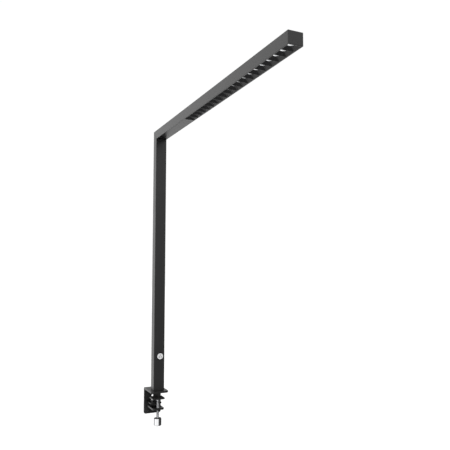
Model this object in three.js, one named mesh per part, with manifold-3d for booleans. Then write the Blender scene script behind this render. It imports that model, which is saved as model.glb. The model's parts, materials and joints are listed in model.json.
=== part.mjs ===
// Workplace luminaire with a desk clamp: an inverted-L stand of rectangular
// aluminium extrusion, a linear LED insert with a dark-light louvre in the
// underside of the arm, a push-button dimmer on the column and a screw clamp.
//
// Units are millimetres. +Z is up, +X runs along the arm towards its free end
// (the front), +Y completes a right-handed frame. The origin is on the axis of
// the column, in the plane of the desk's top surface (the underside of the pad).

import * as THREE from 'three';
import { mergeVertices } from 'three/addons/utils/BufferGeometryUtils.js';
import Module from 'manifold-3d';

const wasm = await Module();
wasm.setup();

// ---------------------------------------------------------- shared dimensions

// extrusion of the column and the arm
const PROFILE_W = 50;          // across the arm (Y)
const PROFILE_D = 40;          // column depth (X) and arm height (Z)
const WALL = 2.5;
const EDGE_R = 0.8;            // outside corner radius
const HALF_W = PROFILE_W / 2;
const HALF_D = PROFILE_D / 2;
const INNER_HALF_W = HALF_W - WALL;
const COLUMN_H = 1200;         // foot to top of the arm
const ARM_L = 1200;            // rear of the column to the cut end of the arm

// L-shaped clamp bracket
const PAD_T = 1;
const PLATE_T = 8;
const PLATE_REAR_X = -80;
const BACK_FRONT_X = PLATE_REAR_X + PLATE_T;  // front face of the back plate

// heights and lengths that follow
const FOOT_Z = PAD_T + PLATE_T;
const TOP_Z = FOOT_Z + COLUMN_H;
const ARM_Z = TOP_Z - PROFILE_D;              // underside of the arm
const ARM_END_X = ARM_L - HALF_D;

// slot and ledges inside the arm
const LIP_HALF = 21.5;                        // half width of the slot
const LIP_T = 1.8;
const LEDGE_HALF = 20.5;
const LEDGE_Z = ARM_Z + 16;
const LEDGE_TOP = LEDGE_Z + 1.5;

// two louvre modules at the free end of the arm
const CELL = 40;
const CELLS_PER_MODULE = 10;
const MODULE_L = CELL * CELLS_PER_MODULE;
const LOUVRE_X0 = ARM_END_X - 2 * MODULE_L;
const MODULES = [['inner', LOUVRE_X0], ['outer', LOUVRE_X0 + MODULE_L]];

// places shared by pieces that meet
const BUTTON_Y = 3.4;
const BUTTON_Z = FOOT_Z + 153;
const BARREL_R = 11;
const INLET_Z = 66;
const PLUG_SCREW_Y = 12;
const PLUG_SCREW_Z = FOOT_Z + 15;
const JAW_BOLT_Y = 15;
const JAW_BOLT_Z = -63.8;
const SCREW_X = 7;                            // axis of the clamp screw
const SIDES = [['left', -1], ['right', 1]];   // name and sign of Y
const FOOT_SCREWS = [                         // name, x, y
  ['front_left', 10, -14], ['front_right', 10, 14],
  ['rear_left', -10, -14], ['rear_right', -10, 14],
];

// play between pieces, and how far a cutter runs past a face
const SLIDE_GAP = 0.2;
const FIT_GAP = 0.3;
const OVERCUT = 1;

// ------------------------------------------------------------------ materials

const finish = (settings) => () => new THREE.MeshStandardMaterial(settings);

const SATIN_BLACK = finish({ color: 0x2b2c2d, roughness: 0.42, metalness: 0.1 });
const STEEL = finish({ color: 0xb6b7b9, roughness: 0.3, metalness: 0.95 });
const ZINC = finish({ color: 0x9a9c9f, roughness: 0.4, metalness: 0.9 });
const CHROME = finish({ color: 0xe2e3e5, roughness: 0.1, metalness: 1 });
const BLACK = finish({ color: 0x17181a, roughness: 0.22, metalness: 0 });
const DARK = finish({ color: 0x1b1b1c, roughness: 0.55, metalness: 0 });
const PADDING = finish({ color: 0x222222, roughness: 0.9, metalness: 0 });
const OPAL = finish({ color: 0xf4f6f8, roughness: 0.3, metalness: 0 });
const BOARD = finish({ color: 0xe9ebea, roughness: 0.5, metalness: 0 });
const HOUSING = finish({ color: 0xd9dad8, roughness: 0.55, metalness: 0 });
const CABLE = finish({ color: 0x2a2a2b, roughness: 0.7, metalness: 0 });

// ------------------------------------------------------------------ 2-D shapes

function polygon(points) {
  const shape = new THREE.Shape();
  shape.moveTo(...points[0]);
  for (const point of points.slice(1)) shape.lineTo(...point);
  shape.closePath();
  return shape;
}

// Polygon symmetric about u = 0, from its +u half listed bottom to top.
function mirrored(half) {
  return polygon([...half, ...half.map(([u, v]) => [-u, v]).reverse()]);
}

// Corner points of a regular polygon.
function ring(u, v, radius, count, turn = 0) {
  return Array.from({ length: count }, (_, i) => {
    const angle = turn + (i / count) * Math.PI * 2;
    return [u + radius * Math.cos(angle), v + radius * Math.sin(angle)];
  });
}

function roundedRect(u0, u1, v0, v1, r) {
  const shape = new THREE.Shape();
  shape.moveTo(u0 + r, v0);
  shape.lineTo(u1 - r, v0);
  shape.absarc(u1 - r, v0 + r, r, -Math.PI / 2, 0, false);
  shape.lineTo(u1, v1 - r);
  shape.absarc(u1 - r, v1 - r, r, 0, Math.PI / 2, false);
  shape.lineTo(u0 + r, v1);
  shape.absarc(u0 + r, v1 - r, r, Math.PI / 2, Math.PI, false);
  shape.lineTo(u0, v0 + r);
  shape.absarc(u0 + r, v0 + r, r, Math.PI, Math.PI * 1.5, false);
  return shape;
}

// ---------------------------------------------------------------- 3-D helpers

function solid(geometry) {
  geometry.deleteAttribute('normal');
  geometry.deleteAttribute('uv');
  const merged = mergeVertices(geometry, 1e-4);
  return new wasm.Manifold(new wasm.Mesh({
    numProp: 3,
    vertProperties: new Float32Array(merged.attributes.position.array),
    triVerts: new Uint32Array(merged.index.array),
  }));
}

function box(x0, x1, y0, y1, z0, z1) {
  const geometry = new THREE.BoxGeometry(x1 - x0, y1 - y0, z1 - z0);
  geometry.translate((x0 + x1) / 2, (y0 + y1) / 2, (z0 + z1) / 2);
  return solid(geometry);
}

const vector = (...xyz) => new THREE.Vector3(...xyz);
const BASIS = {
  x: [vector(0, 1, 0), vector(0, 0, 1), vector(1, 0, 0)],
  y: [vector(1, 0, 0), vector(0, 0, 1), vector(0, -1, 0)],
  z: [vector(1, 0, 0), vector(0, 1, 0), vector(0, 0, 1)],
};

// Extrudes a shape along an axis. The shape's plane is YZ for axis x, XZ for
// axis y and XY for axis z.
function prism(shape, axis, from, to, curveSegments = 6) {
  const geometry = new THREE.ExtrudeGeometry(shape, {
    depth: to - from, steps: 1, bevelEnabled: false, curveSegments,
  });
  geometry.translate(0, 0, axis === 'y' ? -to : from);
  geometry.applyMatrix4(new THREE.Matrix4().makeBasis(...BASIS[axis]));
  return solid(geometry);
}

// A turned piece from [radius, height] points; height runs along the axis
// from the point `at`.
function turned(points, segments, axis, at) {
  const profile = points.map(([radius, height]) => new THREE.Vector2(radius, height));
  const geometry = new THREE.LatheGeometry(profile, segments);
  if (axis === 'z') geometry.rotateX(Math.PI / 2);
  if (axis === 'x') geometry.rotateZ(-Math.PI / 2);
  if (axis === '-z') geometry.rotateX(-Math.PI / 2);
  geometry.translate(...at);
  return solid(geometry);
}

// A cylinder along x (placed at y, z) or along z (placed at x, y).
function rod(radius, axis, from, to, u, v, segments) {
  const geometry = new THREE.CylinderGeometry(radius, radius, to - from, segments);
  if (axis === 'z') {
    geometry.rotateX(Math.PI / 2);
    geometry.translate(u, v, (from + to) / 2);
  } else {
    geometry.rotateZ(-Math.PI / 2);
    geometry.translate((from + to) / 2, u, v);
  }
  return solid(geometry);
}

// Profile of a countersunk hole that starts just outside the surface.
function countersink({ headR, rim, holeR, taperEnd, depth }) {
  return [
    [0, -OVERCUT], [headR, -OVERCUT], [headR, rim], [holeR, taperEnd], [holeR, depth], [0, depth],
  ];
}

// Material outside a rounded corner at (u, v). The signs point from the
// inside of the piece towards the corner.
function cornerWaste(u, v, radius, signU, signV, axis, from, to) {
  const segments = 6;
  const centreU = u - signU * radius;
  const centreV = v - signV * radius;
  const points = [[u + signU * OVERCUT, v + signV * OVERCUT], [u + signU * OVERCUT, centreV]];
  for (let i = 0; i <= segments; i++) {
    const angle = (i / segments) * Math.PI / 2;
    points.push([
      centreU + signU * radius * Math.cos(angle),
      centreV + signV * radius * Math.sin(angle),
    ]);
  }
  points.push([centreU, v + signV * OVERCUT]);
  if (signU * signV < 0) points.reverse();
  return prism(polygon(points), axis, from - OVERCUT, to + OVERCUT);
}

// A six-sided cable along a smooth path of [x, y, z] points.
function cable(path, radius, steps) {
  const extrudePath = new THREE.CatmullRomCurve3(
    path.map((point) => vector(...point)), false, 'centripetal');
  return solid(new THREE.ExtrudeGeometry(
    polygon(ring(0, 0, radius, 6)), { steps, bevelEnabled: false, extrudePath }));
}

// Closed frustum between two loops with the same number of points.
function loft(lower, upper, z0, z1) {
  const count = lower.length;
  const positions = [
    ...lower.flatMap(([x, y]) => [x, y, z0]),
    ...upper.flatMap(([x, y]) => [x, y, z1]),
  ];
  const index = [];
  for (let i = 0; i < count; i++) {
    const j = (i + 1) % count;
    index.push(i, j, count + j, i, count + j, count + i);
  }
  for (let i = 1; i < count - 1; i++) {
    index.push(0, i + 1, i);
    index.push(count, count + i, count + i + 1);
  }
  const geometry = new THREE.BufferGeometry();
  geometry.setAttribute('position', new THREE.Float32BufferAttribute(positions, 3));
  geometry.setIndex(index);
  return solid(geometry);
}

const group = new THREE.Group();
group.name = 'desk_clamp_luminaire';

function add(name, body, material) {
  const { vertProperties, triVerts } = body.getMesh();
  const geometry = new THREE.BufferGeometry();
  geometry.setAttribute('position', new THREE.Float32BufferAttribute(vertProperties, 3));
  geometry.setIndex(Array.from(triVerts));
  geometry.computeVertexNormals();
  const mesh = new THREE.Mesh(geometry, material());
  mesh.name = name;
  group.add(mesh);
}

// ------------------------------------------------------------- column and arm

// Everything on one side of the mitre: -1 the column's side, 1 the arm's.
function mitreSide(side) {
  const gap = 0.15;
  const reach = 200;
  const far = 2000;
  const sum = TOP_Z - HALF_D + side * gap;    // x + z on the cut face
  const corners = side > 0
    ? [[far, sum - reach], [far, sum + reach]]
    : [[reach, sum - far], [-reach, sum - far]];
  return prism(polygon([[-reach, sum + reach], [reach, sum - reach], ...corners]),
    'y', -100, 100);
}

function columnTube() {
  const section = roundedRect(-HALF_D, HALF_D, -HALF_W, HALF_W, EDGE_R);
  section.holes.push(
    roundedRect(-HALF_D + WALL, HALF_D - WALL, -INNER_HALF_W, INNER_HALF_W, 0.6));
  let tube = prism(section, 'z', FOOT_Z + 0.05, TOP_Z, 3)
    .intersect(mitreSide(-1))
    .subtract(rod(BARREL_R + FIT_GAP, 'x', HALF_D - WALL - OVERCUT, HALF_D + OVERCUT,
      BUTTON_Y, BUTTON_Z, 32))
    .subtract(box(-HALF_D - OVERCUT, -HALF_D + WALL + OVERCUT,
      -12.2, 12.2, INLET_Z - 8.2, INLET_Z + 8.2));
  const hole = countersink({ headR: 5.4, rim: 0.2, holeR: 2.8, taperEnd: 2.8, depth: 12 });
  for (const [, side] of SIDES) {
    tube = tube.subtract(turned(hole, 20, 'x', [-HALF_D, side * PLUG_SCREW_Y, PLUG_SCREW_Z]));
  }
  return tube;
}
add('column_tube', columnTube(), SATIN_BLACK);

// Slotted underneath, with a ledge along each inner side.
function armProfile() {
  const cavity = mirrored([
    [LIP_HALF, ARM_Z - OVERCUT], [LIP_HALF, ARM_Z + LIP_T], [INNER_HALF_W, ARM_Z + LIP_T],
    [INNER_HALF_W, LEDGE_Z], [LEDGE_HALF, LEDGE_Z], [LEDGE_HALF, LEDGE_TOP],
    [INNER_HALF_W, LEDGE_TOP], [INNER_HALF_W, TOP_Z - WALL],
  ]);
  return prism(roundedRect(-HALF_W, HALF_W, ARM_Z, TOP_Z, EDGE_R), 'x', -HALF_D, ARM_END_X, 3)
    .subtract(prism(cavity, 'x', -HALF_D - OVERCUT, ARM_END_X + OVERCUT))
    .intersect(mitreSide(1));
}
add('arm_profile', armProfile(), SATIN_BLACK);

// Half section of a part that fills the slot and rests on the arm's lips.
function slotFoot(bottomZ) {
  const neck = LIP_HALF - SLIDE_GAP;
  const flange = INNER_HALF_W - SLIDE_GAP;
  const flangeZ = ARM_Z + LIP_T + SLIDE_GAP;
  return [[neck, bottomZ], [neck, flangeZ], [flange, flangeZ], [flange, flangeZ + 1.5]];
}

// flat slide-in cover between the column and the louvre
add('arm_bottom_cover',
  prism(mirrored(slotFoot(ARM_Z)), 'x', HALF_D + 0.3, LOUVRE_X0 - 0.1), SATIN_BLACK);

// Angle inside the mitre, screwed to the column's rear wall and the arm's top.
function addCornerBracket() {
  const thickness = 6;
  const rearX = -HALF_D + WALL + FIT_GAP;
  const topZ = TOP_Z - WALL - FIT_GAP;
  const innerX = rearX + thickness;
  const innerZ = topZ - thickness;
  const screwY = 11;
  const columnScrewZ = TOP_Z - 80;
  const armScrewX = 60;
  const screwHoleR = 3.15;
  const screwProfile = [[0, 0], [2.6, 0], [2.9, 0.3], [2.9, 6.6], [2.6, 6.9], [0, 6.9]];

  let bracket = prism(polygon([
    [rearX, TOP_Z - 100], [innerX, TOP_Z - 100], [innerX, TOP_Z - 30], [innerX + 18, innerZ],
    [78, innerZ], [78, topZ], [rearX, topZ],
  ]), 'y', -20, 20);
  for (const [, side] of SIDES) {
    bracket = bracket
      .subtract(rod(screwHoleR, 'x', rearX - OVERCUT, innerX + OVERCUT,
        side * screwY, columnScrewZ, 16))
      .subtract(rod(screwHoleR, 'z', innerZ - OVERCUT, topZ + OVERCUT,
        armScrewX, side * screwY, 16));
  }
  add('corner_bracket', bracket, ZINC);
  for (const [tag, side] of SIDES) {
    const at = [rearX - 0.2, side * screwY, columnScrewZ];
    add(`corner_set_screw_column_${tag}`, turned(screwProfile, 12, 'x', at), ZINC);
  }
  for (const [tag, side] of SIDES) {
    const at = [armScrewX, side * screwY, topZ + 0.2];
    add(`corner_set_screw_arm_${tag}`, turned(screwProfile, 12, '-z', at), ZINC);
  }
}
addCornerBracket();

// Cap plate with a hollow push-in plug above the light insert.
function endCap() {
  const capT = 4;
  const plugHalfW = INNER_HALF_W - FIT_GAP;
  const plate = prism(roundedRect(-HALF_W, HALF_W, ARM_Z, TOP_Z, EDGE_R),
    'x', ARM_END_X + 0.1, ARM_END_X + capT, 3);
  const plug = box(ARM_END_X - 9, ARM_END_X + 1, -plugHalfW, plugHalfW,
    LEDGE_TOP + 2.2, TOP_Z - WALL - FIT_GAP);
  const hollow = box(ARM_END_X - 10, ARM_END_X - 0.5, -19.5, 19.5,
    LEDGE_TOP + 4.6, TOP_Z - WALL - 2.6);
  return plate.add(plug.subtract(hollow));
}
add('end_cap', endCap(), SATIN_BLACK);

// --------------------------------------------------------------- light insert

const LOUVRE_TOP = ARM_Z + 12;
const LED_BOARD_Z = LEDGE_TOP - 1.6;          // underside of the LED board

function cellCentres(moduleX) {
  return Array.from({ length: CELLS_PER_MODULE }, (_, i) => moduleX + CELL * (i + 0.5));
}

// Mouth of a cup: a rectangle with its corners cut off, listed from the same
// corner and in the same direction as the octagonal throat.
function cupMouth(centreX) {
  const halfX = CELL / 2 - 0.8;               // leaves a 1.6 wall between cells
  const halfY = 20.4;
  const cut = 3;
  return [
    [halfX, halfY - cut], [halfX - cut, halfY], [cut - halfX, halfY], [-halfX, halfY - cut],
    [-halfX, cut - halfY], [cut - halfX, -halfY], [halfX - cut, -halfY], [halfX, cut - halfY],
  ].map(([x, y]) => [centreX + x, y]);
}

function louvreModule(moduleX) {
  const bottomZ = ARM_Z + 0.2;
  const throatZ = ARM_Z + 10;
  const throatR = 11.3;                       // from the axis to a flat
  const overlap = 0.02;
  const bodyHalf = LEDGE_HALF - 0.3;
  const foot = slotFoot(bottomZ);
  const shoulderZ = foot.at(-1)[1];
  let body = prism(mirrored([...foot, [bodyHalf, shoulderZ], [bodyHalf, LOUVRE_TOP]]),
    'x', moduleX + 0.1, moduleX + MODULE_L - 0.1);
  for (const x of cellCentres(moduleX)) {
    const throat = ring(x, 0, throatR / Math.cos(Math.PI / 8), 8, Math.PI / 8);
    // the cone starts just below the bottom face so that the cut is clean
    body = body
      .subtract(loft(cupMouth(x), throat, bottomZ - overlap, throatZ))
      .subtract(loft(throat, throat, throatZ - overlap, LOUVRE_TOP + OVERCUT));
  }
  return body;
}

// Flat strip above the louvre with a disc hanging into each throat.
function lensStrip(moduleX) {
  const disc = [[0, 0], [10.7, 0], [10.7, 3.2], [0, 3.2]];
  let body = box(moduleX + 2, moduleX + MODULE_L - 2, -14, 14, LOUVRE_TOP + 0.2, LOUVRE_TOP + 1.4);
  for (const x of cellCentres(moduleX)) {
    body = body.add(turned(disc, 12, 'z', [x, 0, LOUVRE_TOP - 2.4]));
  }
  return body;
}

function ledBoard(moduleX) {
  const ledHalf = 1.75;
  let body = box(moduleX + 4, moduleX + MODULE_L - 4, -9, 9, LED_BOARD_Z, LEDGE_TOP);
  for (const x of cellCentres(moduleX)) {
    body = body.add(box(x - ledHalf, x + ledHalf, -ledHalf, ledHalf,
      LED_BOARD_Z - 0.8, LED_BOARD_Z + 0.2));
  }
  return body;
}

for (const [tag, x] of MODULES) add(`louvre_module_${tag}`, louvreModule(x), BLACK);
for (const [tag, x] of MODULES) add(`lens_strip_${tag}`, lensStrip(x), OPAL);
for (const [tag, x] of MODULES) add(`led_board_${tag}`, ledBoard(x), BOARD);

const LINK_X = LOUVRE_X0 + MODULE_L;          // joint between the two modules
add('board_link_connector',
  box(LINK_X - 9, LINK_X + 9, -5, 5, LED_BOARD_Z - 1.4, LED_BOARD_Z - 0.2), BOARD);

// ------------------------------- carrier tray on the ledges, driver and leads

const TRAY_Z0 = LEDGE_TOP + 0.2;
const TRAY_Z1 = TRAY_Z0 + 1.5;
const DRIVER_X0 = 110;
const DRIVER_X1 = 340;
const DRIVER_LUG = 12;                        // length of the thin lug at each end
const LED_LEAD_Y = 7;

function addDriver() {
  const trayHalfW = INNER_HALF_W - FIT_GAP;
  const driverZ = TRAY_Z1 + 0.2;
  const lugTopZ = TRAY_Z1 + 2.2;
  const screwY = -8;
  const screwHoleR = 1.8;
  const screws = [['rear', DRIVER_X0 + DRIVER_LUG / 2], ['front', DRIVER_X1 - DRIVER_LUG / 2]];
  const screwProfile = [
    [0, 0], [1.5, 0], [1.5, 4.4], [3, 4.4], [3, 5.4], [2.2, 6.2], [0, 6.2],
  ];

  let tray = box(88, ARM_END_X - 10, -trayHalfW, trayHalfW, TRAY_Z0, TRAY_Z1)
    .subtract(rod(3.2, 'z', TRAY_Z0 - OVERCUT, TRAY_Z1 + OVERCUT,
      LOUVRE_X0 + 12, LED_LEAD_Y, 16));
  let driver = box(DRIVER_X0 + DRIVER_LUG, DRIVER_X1 - DRIVER_LUG, -15, 15, driverZ, TRAY_Z1 + 16)
    .add(box(DRIVER_X0, DRIVER_X1, -15, 15, driverZ, lugTopZ));
  for (const [, x] of screws) {
    const hole = rod(screwHoleR, 'z', TRAY_Z0 - OVERCUT, lugTopZ + OVERCUT, x, screwY, 12);
    tray = tray.subtract(hole);
    driver = driver.subtract(hole);
  }
  add('gear_tray', tray, ZINC);
  add('led_driver', driver, HOUSING);
  for (const [tag, x] of screws) {
    const screw = turned(screwProfile, 12, 'z', [x, screwY, TRAY_Z0 - 0.1]);
    add(`driver_screw_${tag}`, screw, ZINC);
  }
}
addDriver();

// from the front of the driver down through the hole in the tray
const LED_LEAD_PATH = [
  [DRIVER_X1 + 0.4, LED_LEAD_Y, TRAY_Z1 + 6],
  [DRIVER_X1 + 18, LED_LEAD_Y, TRAY_Z1 + 6],
  [LOUVRE_X0 + 2, LED_LEAD_Y, TRAY_Z1 + 5],
  [LOUVRE_X0 + 11, LED_LEAD_Y, TRAY_Z1 + 2.5],
  [LOUVRE_X0 + 12, LED_LEAD_Y, TRAY_Z0 + 0.2],
];
add('led_lead', cable(LED_LEAD_PATH, 1.6, 14), CABLE);

// from the rear of the driver, round the corner and down to the button
const SUPPLY_PATH = [
  [DRIVER_X0 + DRIVER_LUG - 0.4, 0, TRAY_Z1 + 8], [90, 0, TRAY_Z1 + 7.5],
  [50, 0, TRAY_Z1 + 2], [20, 0, TRAY_Z1 - 4], [2, 0, ARM_Z - 2], [-6, 0, ARM_Z - 34],
  [-8, 0, 900], [-8, 0, 500], [-8, 0, 260], [-8, 0, BUTTON_Z + 16.5],
];
add('supply_cable', cable(SUPPLY_PATH, 3, 30), CABLE);

// ---------------------------------------------------------------- push button

const BUTTON_R = 13.4;
const BUTTON_AT = [HALF_D, BUTTON_Y, BUTTON_Z];

// Bezel ring with a shallow well, a barrel, and a blind bore for the plunger,
// open towards the front.
function switchHousing() {
  const bezelR = 15.8;
  const wellR = BUTTON_R + 0.35;
  return turned([
    [0, -21], [BARREL_R, -21], [BARREL_R, 0.15], [bezelR, 0.15], [bezelR, 1.9],
    [bezelR - 0.6, 2.5], [wellR, 2.5], [wellR, 1], [4.4, 1], [4.4, -6],
    [7.6, -6], [7.6, -17.5], [0, -17.5],
  ], 28, 'x', BUTTON_AT);
}
add('switch_housing', switchHousing(), DARK);

function switchNut() {
  const front = HALF_D - WALL - 0.2;
  const rear = front - 4;
  return prism(polygon(ring(BUTTON_Y, BUTTON_Z, 15.5, 6)), 'x', rear, front)
    .subtract(rod(BARREL_R + FIT_GAP, 'x', rear - OVERCUT, front + OVERCUT,
      BUTTON_Y, BUTTON_Z, 32));
}
add('switch_nut', switchNut(), ZINC);

// Cap with a plunger behind it and three shallow dimples on its face.
function buttonCap() {
  const face = 5.2;
  const capR = BUTTON_R - 0.1;
  let cap = turned([
    [0, -9.9], [4, -9.9], [4, 2.4], [capR, 2.4], [capR, face - 0.8], [BUTTON_R - 0.9, face],
    [0, face],
  ], 28, 'x', BUTTON_AT);
  for (const [y, z] of ring(BUTTON_Y, BUTTON_Z, 5.6, 3, Math.PI / 2)) {
    cap = cap.subtract(rod(1.7, 'x', HALF_D + face - 0.7, HALF_D + face + OVERCUT, y, z, 14));
  }
  return cap;
}
add('button_cap', buttonCap(), CHROME);
add('microswitch', box(HALF_D - 17.3, HALF_D - 11.6,
  BUTTON_Y - 5, BUTTON_Y + 5, BUTTON_Z - 5, BUTTON_Z + 5), DARK);

// ---------------------------------------------------------- power inlet, rear

function powerInlet() {
  const wallX = -HALF_D;
  const flange = box(wallX - 1.6, wallX - 0.1, -15, 15, INLET_Z - 11, INLET_Z + 11);
  const body = box(wallX - 0.5, wallX + 18, -12, 12, INLET_Z - 8, INLET_Z + 8);
  const socket = box(wallX - 3, wallX + 10, -9.5, 9.5, INLET_Z - 5.5, INLET_Z + 5.5);
  let inlet = flange.add(body).subtract(socket);
  for (const y of [-5, 0, 5]) {
    inlet = inlet.add(box(wallX + 2, wallX + 11, y - 0.9, y + 0.9, INLET_Z - 1.5, INLET_Z + 1.5));
  }
  return inlet;
}
add('power_inlet', powerInlet(), DARK);

const INLET_LEAD_PATH = [
  [-4, 0, INLET_Z + 8.4], [-4, 0, INLET_Z + 24], [-8, 0, INLET_Z + 42], [-8, 0, BUTTON_Z - 16.5],
];
add('inlet_lead', cable(INLET_LEAD_PATH, 3, 8), CABLE);

// ----------------------------------------- foot plug, bracket and their screws

function footPlug() {
  const halfD = HALF_D - WALL - SLIDE_GAP;
  const halfW = INNER_HALF_W - SLIDE_GAP;
  let plug = box(-halfD, halfD, -halfW, halfW, FOOT_Z + 0.1, FOOT_Z + 30);
  for (const [, x, y] of FOOT_SCREWS) {
    plug = plug.subtract(rod(3.3, 'z', FOOT_Z - OVERCUT, FOOT_Z + 21, x, y, 16));
  }
  // the two cross screws stop short of the foot screws' holes
  for (const [, side] of SIDES) {
    plug = plug.subtract(
      rod(2.7, 'x', -HALF_D, -HALF_D + 7, side * PLUG_SCREW_Y, PLUG_SCREW_Z, 12));
  }
  return plug;
}
add('foot_plug', footPlug(), ZINC);

// Top plate and back plate with a bend between them.
function clampBracket() {
  const halfW = 40.5;
  const frontX = 40;
  const frontCornerR = 12;
  const bottomZ = -111;
  const bottomCornerR = 8;
  const bendR = 2.5;
  const centreHoleR = 5.25;
  const centreHoleZ = [-31, -51];
  const backHole = (radius, y, z, segments) =>
    rod(radius, 'x', PLATE_REAR_X - OVERCUT, BACK_FRONT_X + OVERCUT, y, z, segments);

  const section = new THREE.Shape();
  section.moveTo(PLATE_REAR_X, bottomZ);
  section.lineTo(BACK_FRONT_X, bottomZ);
  section.lineTo(BACK_FRONT_X, PAD_T);
  section.lineTo(frontX, PAD_T);
  section.lineTo(frontX, FOOT_Z);
  section.lineTo(PLATE_REAR_X + bendR, FOOT_Z);
  section.absarc(PLATE_REAR_X + bendR, FOOT_Z - bendR, bendR, Math.PI / 2, Math.PI, false);
  section.closePath();

  let body = prism(section, 'y', -halfW, halfW, 5);
  for (const [, side] of SIDES) {
    body = body
      .subtract(cornerWaste(frontX, side * halfW, frontCornerR, 1, side, 'z', PAD_T, FOOT_Z))
      .subtract(cornerWaste(side * halfW, bottomZ, bottomCornerR, side, -1,
        'x', PLATE_REAR_X, BACK_FRONT_X))
      .subtract(backHole(3.4, side * JAW_BOLT_Y, JAW_BOLT_Z, 16));
  }
  for (const z of centreHoleZ) body = body.subtract(backHole(centreHoleR, 0, z, 20));
  // foot screw holes, countersunk from below
  const hole = countersink({ headR: 6.2, rim: 0.3, holeR: 3.3, taperEnd: 3.2, depth: 10 });
  for (const [, x, y] of FOOT_SCREWS) {
    body = body.subtract(turned(hole, 14, 'z', [x, y, PAD_T]));
  }
  return body;
}
add('clamp_bracket', clampBracket(), SATIN_BLACK);

const FOOT_SCREW_PROFILE = [
  [0, 0], [5.7, 0], [5.7, 0.3], [3, 3], [3, 24.5], [2.4, 25], [0, 25],
];
for (const [tag, x, y] of FOOT_SCREWS) {
  add(`foot_screw_${tag}`, turned(FOOT_SCREW_PROFILE, 12, 'z', [x, y, PAD_T + 0.2]), ZINC);
}

const PLUG_SCREW_PROFILE = [[0, 0], [4.9, 0], [4.9, 0.2], [2.4, 2.7], [2.4, 6.6], [0, 6.6]];
for (const [tag, side] of SIDES) {
  const at = [-HALF_D + 0.2, side * PLUG_SCREW_Y, PLUG_SCREW_Z];
  add(`plug_screw_${tag}`, turned(PLUG_SCREW_PROFILE, 14, 'x', at), ZINC);
}

add('top_pad', prism(roundedRect(-66, 36, -34, 34, 6), 'z', 0, PAD_T - 0.05, 4), PADDING);

// ------------------------------------------------------------------ clamp jaw

const JAW_X0 = BACK_FRONT_X + 0.1;
const JAW_WEB_X1 = JAW_X0 + 6;
const JAW_T = 8;
const JAW_TOP_Z = -69.5;
const JAW_BOTTOM_Z = JAW_TOP_Z - JAW_T;

// Long lower plate and short upper lip, joined by a web at the rear.
function lowerJaw() {
  const halfW = 27;
  const frontX = 20;
  const lipFrontX = -17;
  const lipTopZ = -52;
  const lipBottomZ = lipTopZ - 6;
  let jaw = prism(polygon([
    [JAW_X0, JAW_BOTTOM_Z], [frontX, JAW_BOTTOM_Z], [frontX, JAW_TOP_Z],
    [JAW_WEB_X1, JAW_TOP_Z], [JAW_WEB_X1, lipBottomZ], [lipFrontX, lipBottomZ],
    [lipFrontX, lipTopZ], [JAW_X0, lipTopZ],
  ]), 'y', -halfW, halfW);
  for (const [, side] of SIDES) {
    jaw = jaw
      .subtract(cornerWaste(frontX, side * halfW, 9, 1, side, 'z', JAW_BOTTOM_Z, JAW_TOP_Z))
      .subtract(cornerWaste(lipFrontX, side * halfW, 6, 1, side, 'z', lipBottomZ, lipTopZ))
      .subtract(rod(3.4, 'x', JAW_X0 - OVERCUT, JAW_WEB_X1 + OVERCUT,
        side * JAW_BOLT_Y, JAW_BOLT_Z, 16));
  }
  return jaw.subtract(
    rod(8.3, 'z', JAW_BOTTOM_Z - OVERCUT, JAW_TOP_Z + OVERCUT, SCREW_X, 0, 28));
}
add('lower_jaw', lowerJaw(), SATIN_BLACK);

const THREAD_INSERT_PROFILE = [
  [6.35, -2.2], [11, -2.2], [11, -0.2], [8, -0.2], [8, JAW_T], [6.35, JAW_T], [6.35, -2.2],
];
add('thread_insert',
  turned(THREAD_INSERT_PROFILE, 28, 'z', [SCREW_X, 0, JAW_BOTTOM_Z]), SATIN_BLACK);

// Socket-head bolt through the jaw's web and the back plate.
function jawBolt(y) {
  const headX = JAW_WEB_X1 + 0.2;
  const headH = 6;
  const headProfile = [[0, 0], [5, 0], [5, 5.5], [4.6, headH], [0, headH]];
  return turned(headProfile, 20, 'x', [headX, y, JAW_BOLT_Z])
    .add(rod(3, 'x', PLATE_REAR_X - 7, JAW_WEB_X1 + 1, y, JAW_BOLT_Z, 16))
    .subtract(prism(polygon(ring(y, JAW_BOLT_Z, 2.9, 6)),
      'x', headX + 2.8, headX + headH + OVERCUT));
}

function jawNut(y) {
  const front = PLATE_REAR_X - 0.2;
  const rear = front - 5;
  return prism(polygon(ring(y, JAW_BOLT_Z, 5.77, 6)), 'x', rear, front)
    .subtract(rod(3.3, 'x', rear - OVERCUT, front + OVERCUT, y, JAW_BOLT_Z, 16));
}

for (const [tag, side] of SIDES) {
  add(`jaw_bolt_${tag}`, jawBolt(side * JAW_BOLT_Y), ZINC);
  add(`jaw_nut_${tag}`, jawNut(side * JAW_BOLT_Y), ZINC);
}

// --------------------------------------------- pressure plate, screw and knob

const PRESS_TOP_Z = -24;
const PRESS_PLATE_TOP = PRESS_TOP_Z - 1;      // under the pad
const PRESS_BOTTOM = PRESS_PLATE_TOP - 6;
const KNOB_R = 17;
const KNOB_TOP = -115;
const KNOB_BOTTOM = KNOB_TOP - 32;
const KNOB_SCREW_Z = KNOB_BOTTOM + 14;

// Outline of the pressure plate, drawn in by a margin.
function pressOutline(margin, cornerR) {
  return roundedRect(-28 + margin, 23 - margin, -29 + margin, 29 - margin, cornerR);
}

const PRESS_PLATE = prism(pressOutline(0, 5), 'z', PRESS_BOTTOM, PRESS_PLATE_TOP - 0.05, 4)
  .subtract(rod(4.9, 'z', PRESS_BOTTOM - OVERCUT, PRESS_BOTTOM + 4.5, SCREW_X, 0, 20));
add('pressure_plate', PRESS_PLATE, SATIN_BLACK);
add('pressure_pad',
  prism(pressOutline(1.5, 2.5), 'z', PRESS_PLATE_TOP, PRESS_TOP_Z, 4), PADDING);

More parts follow.
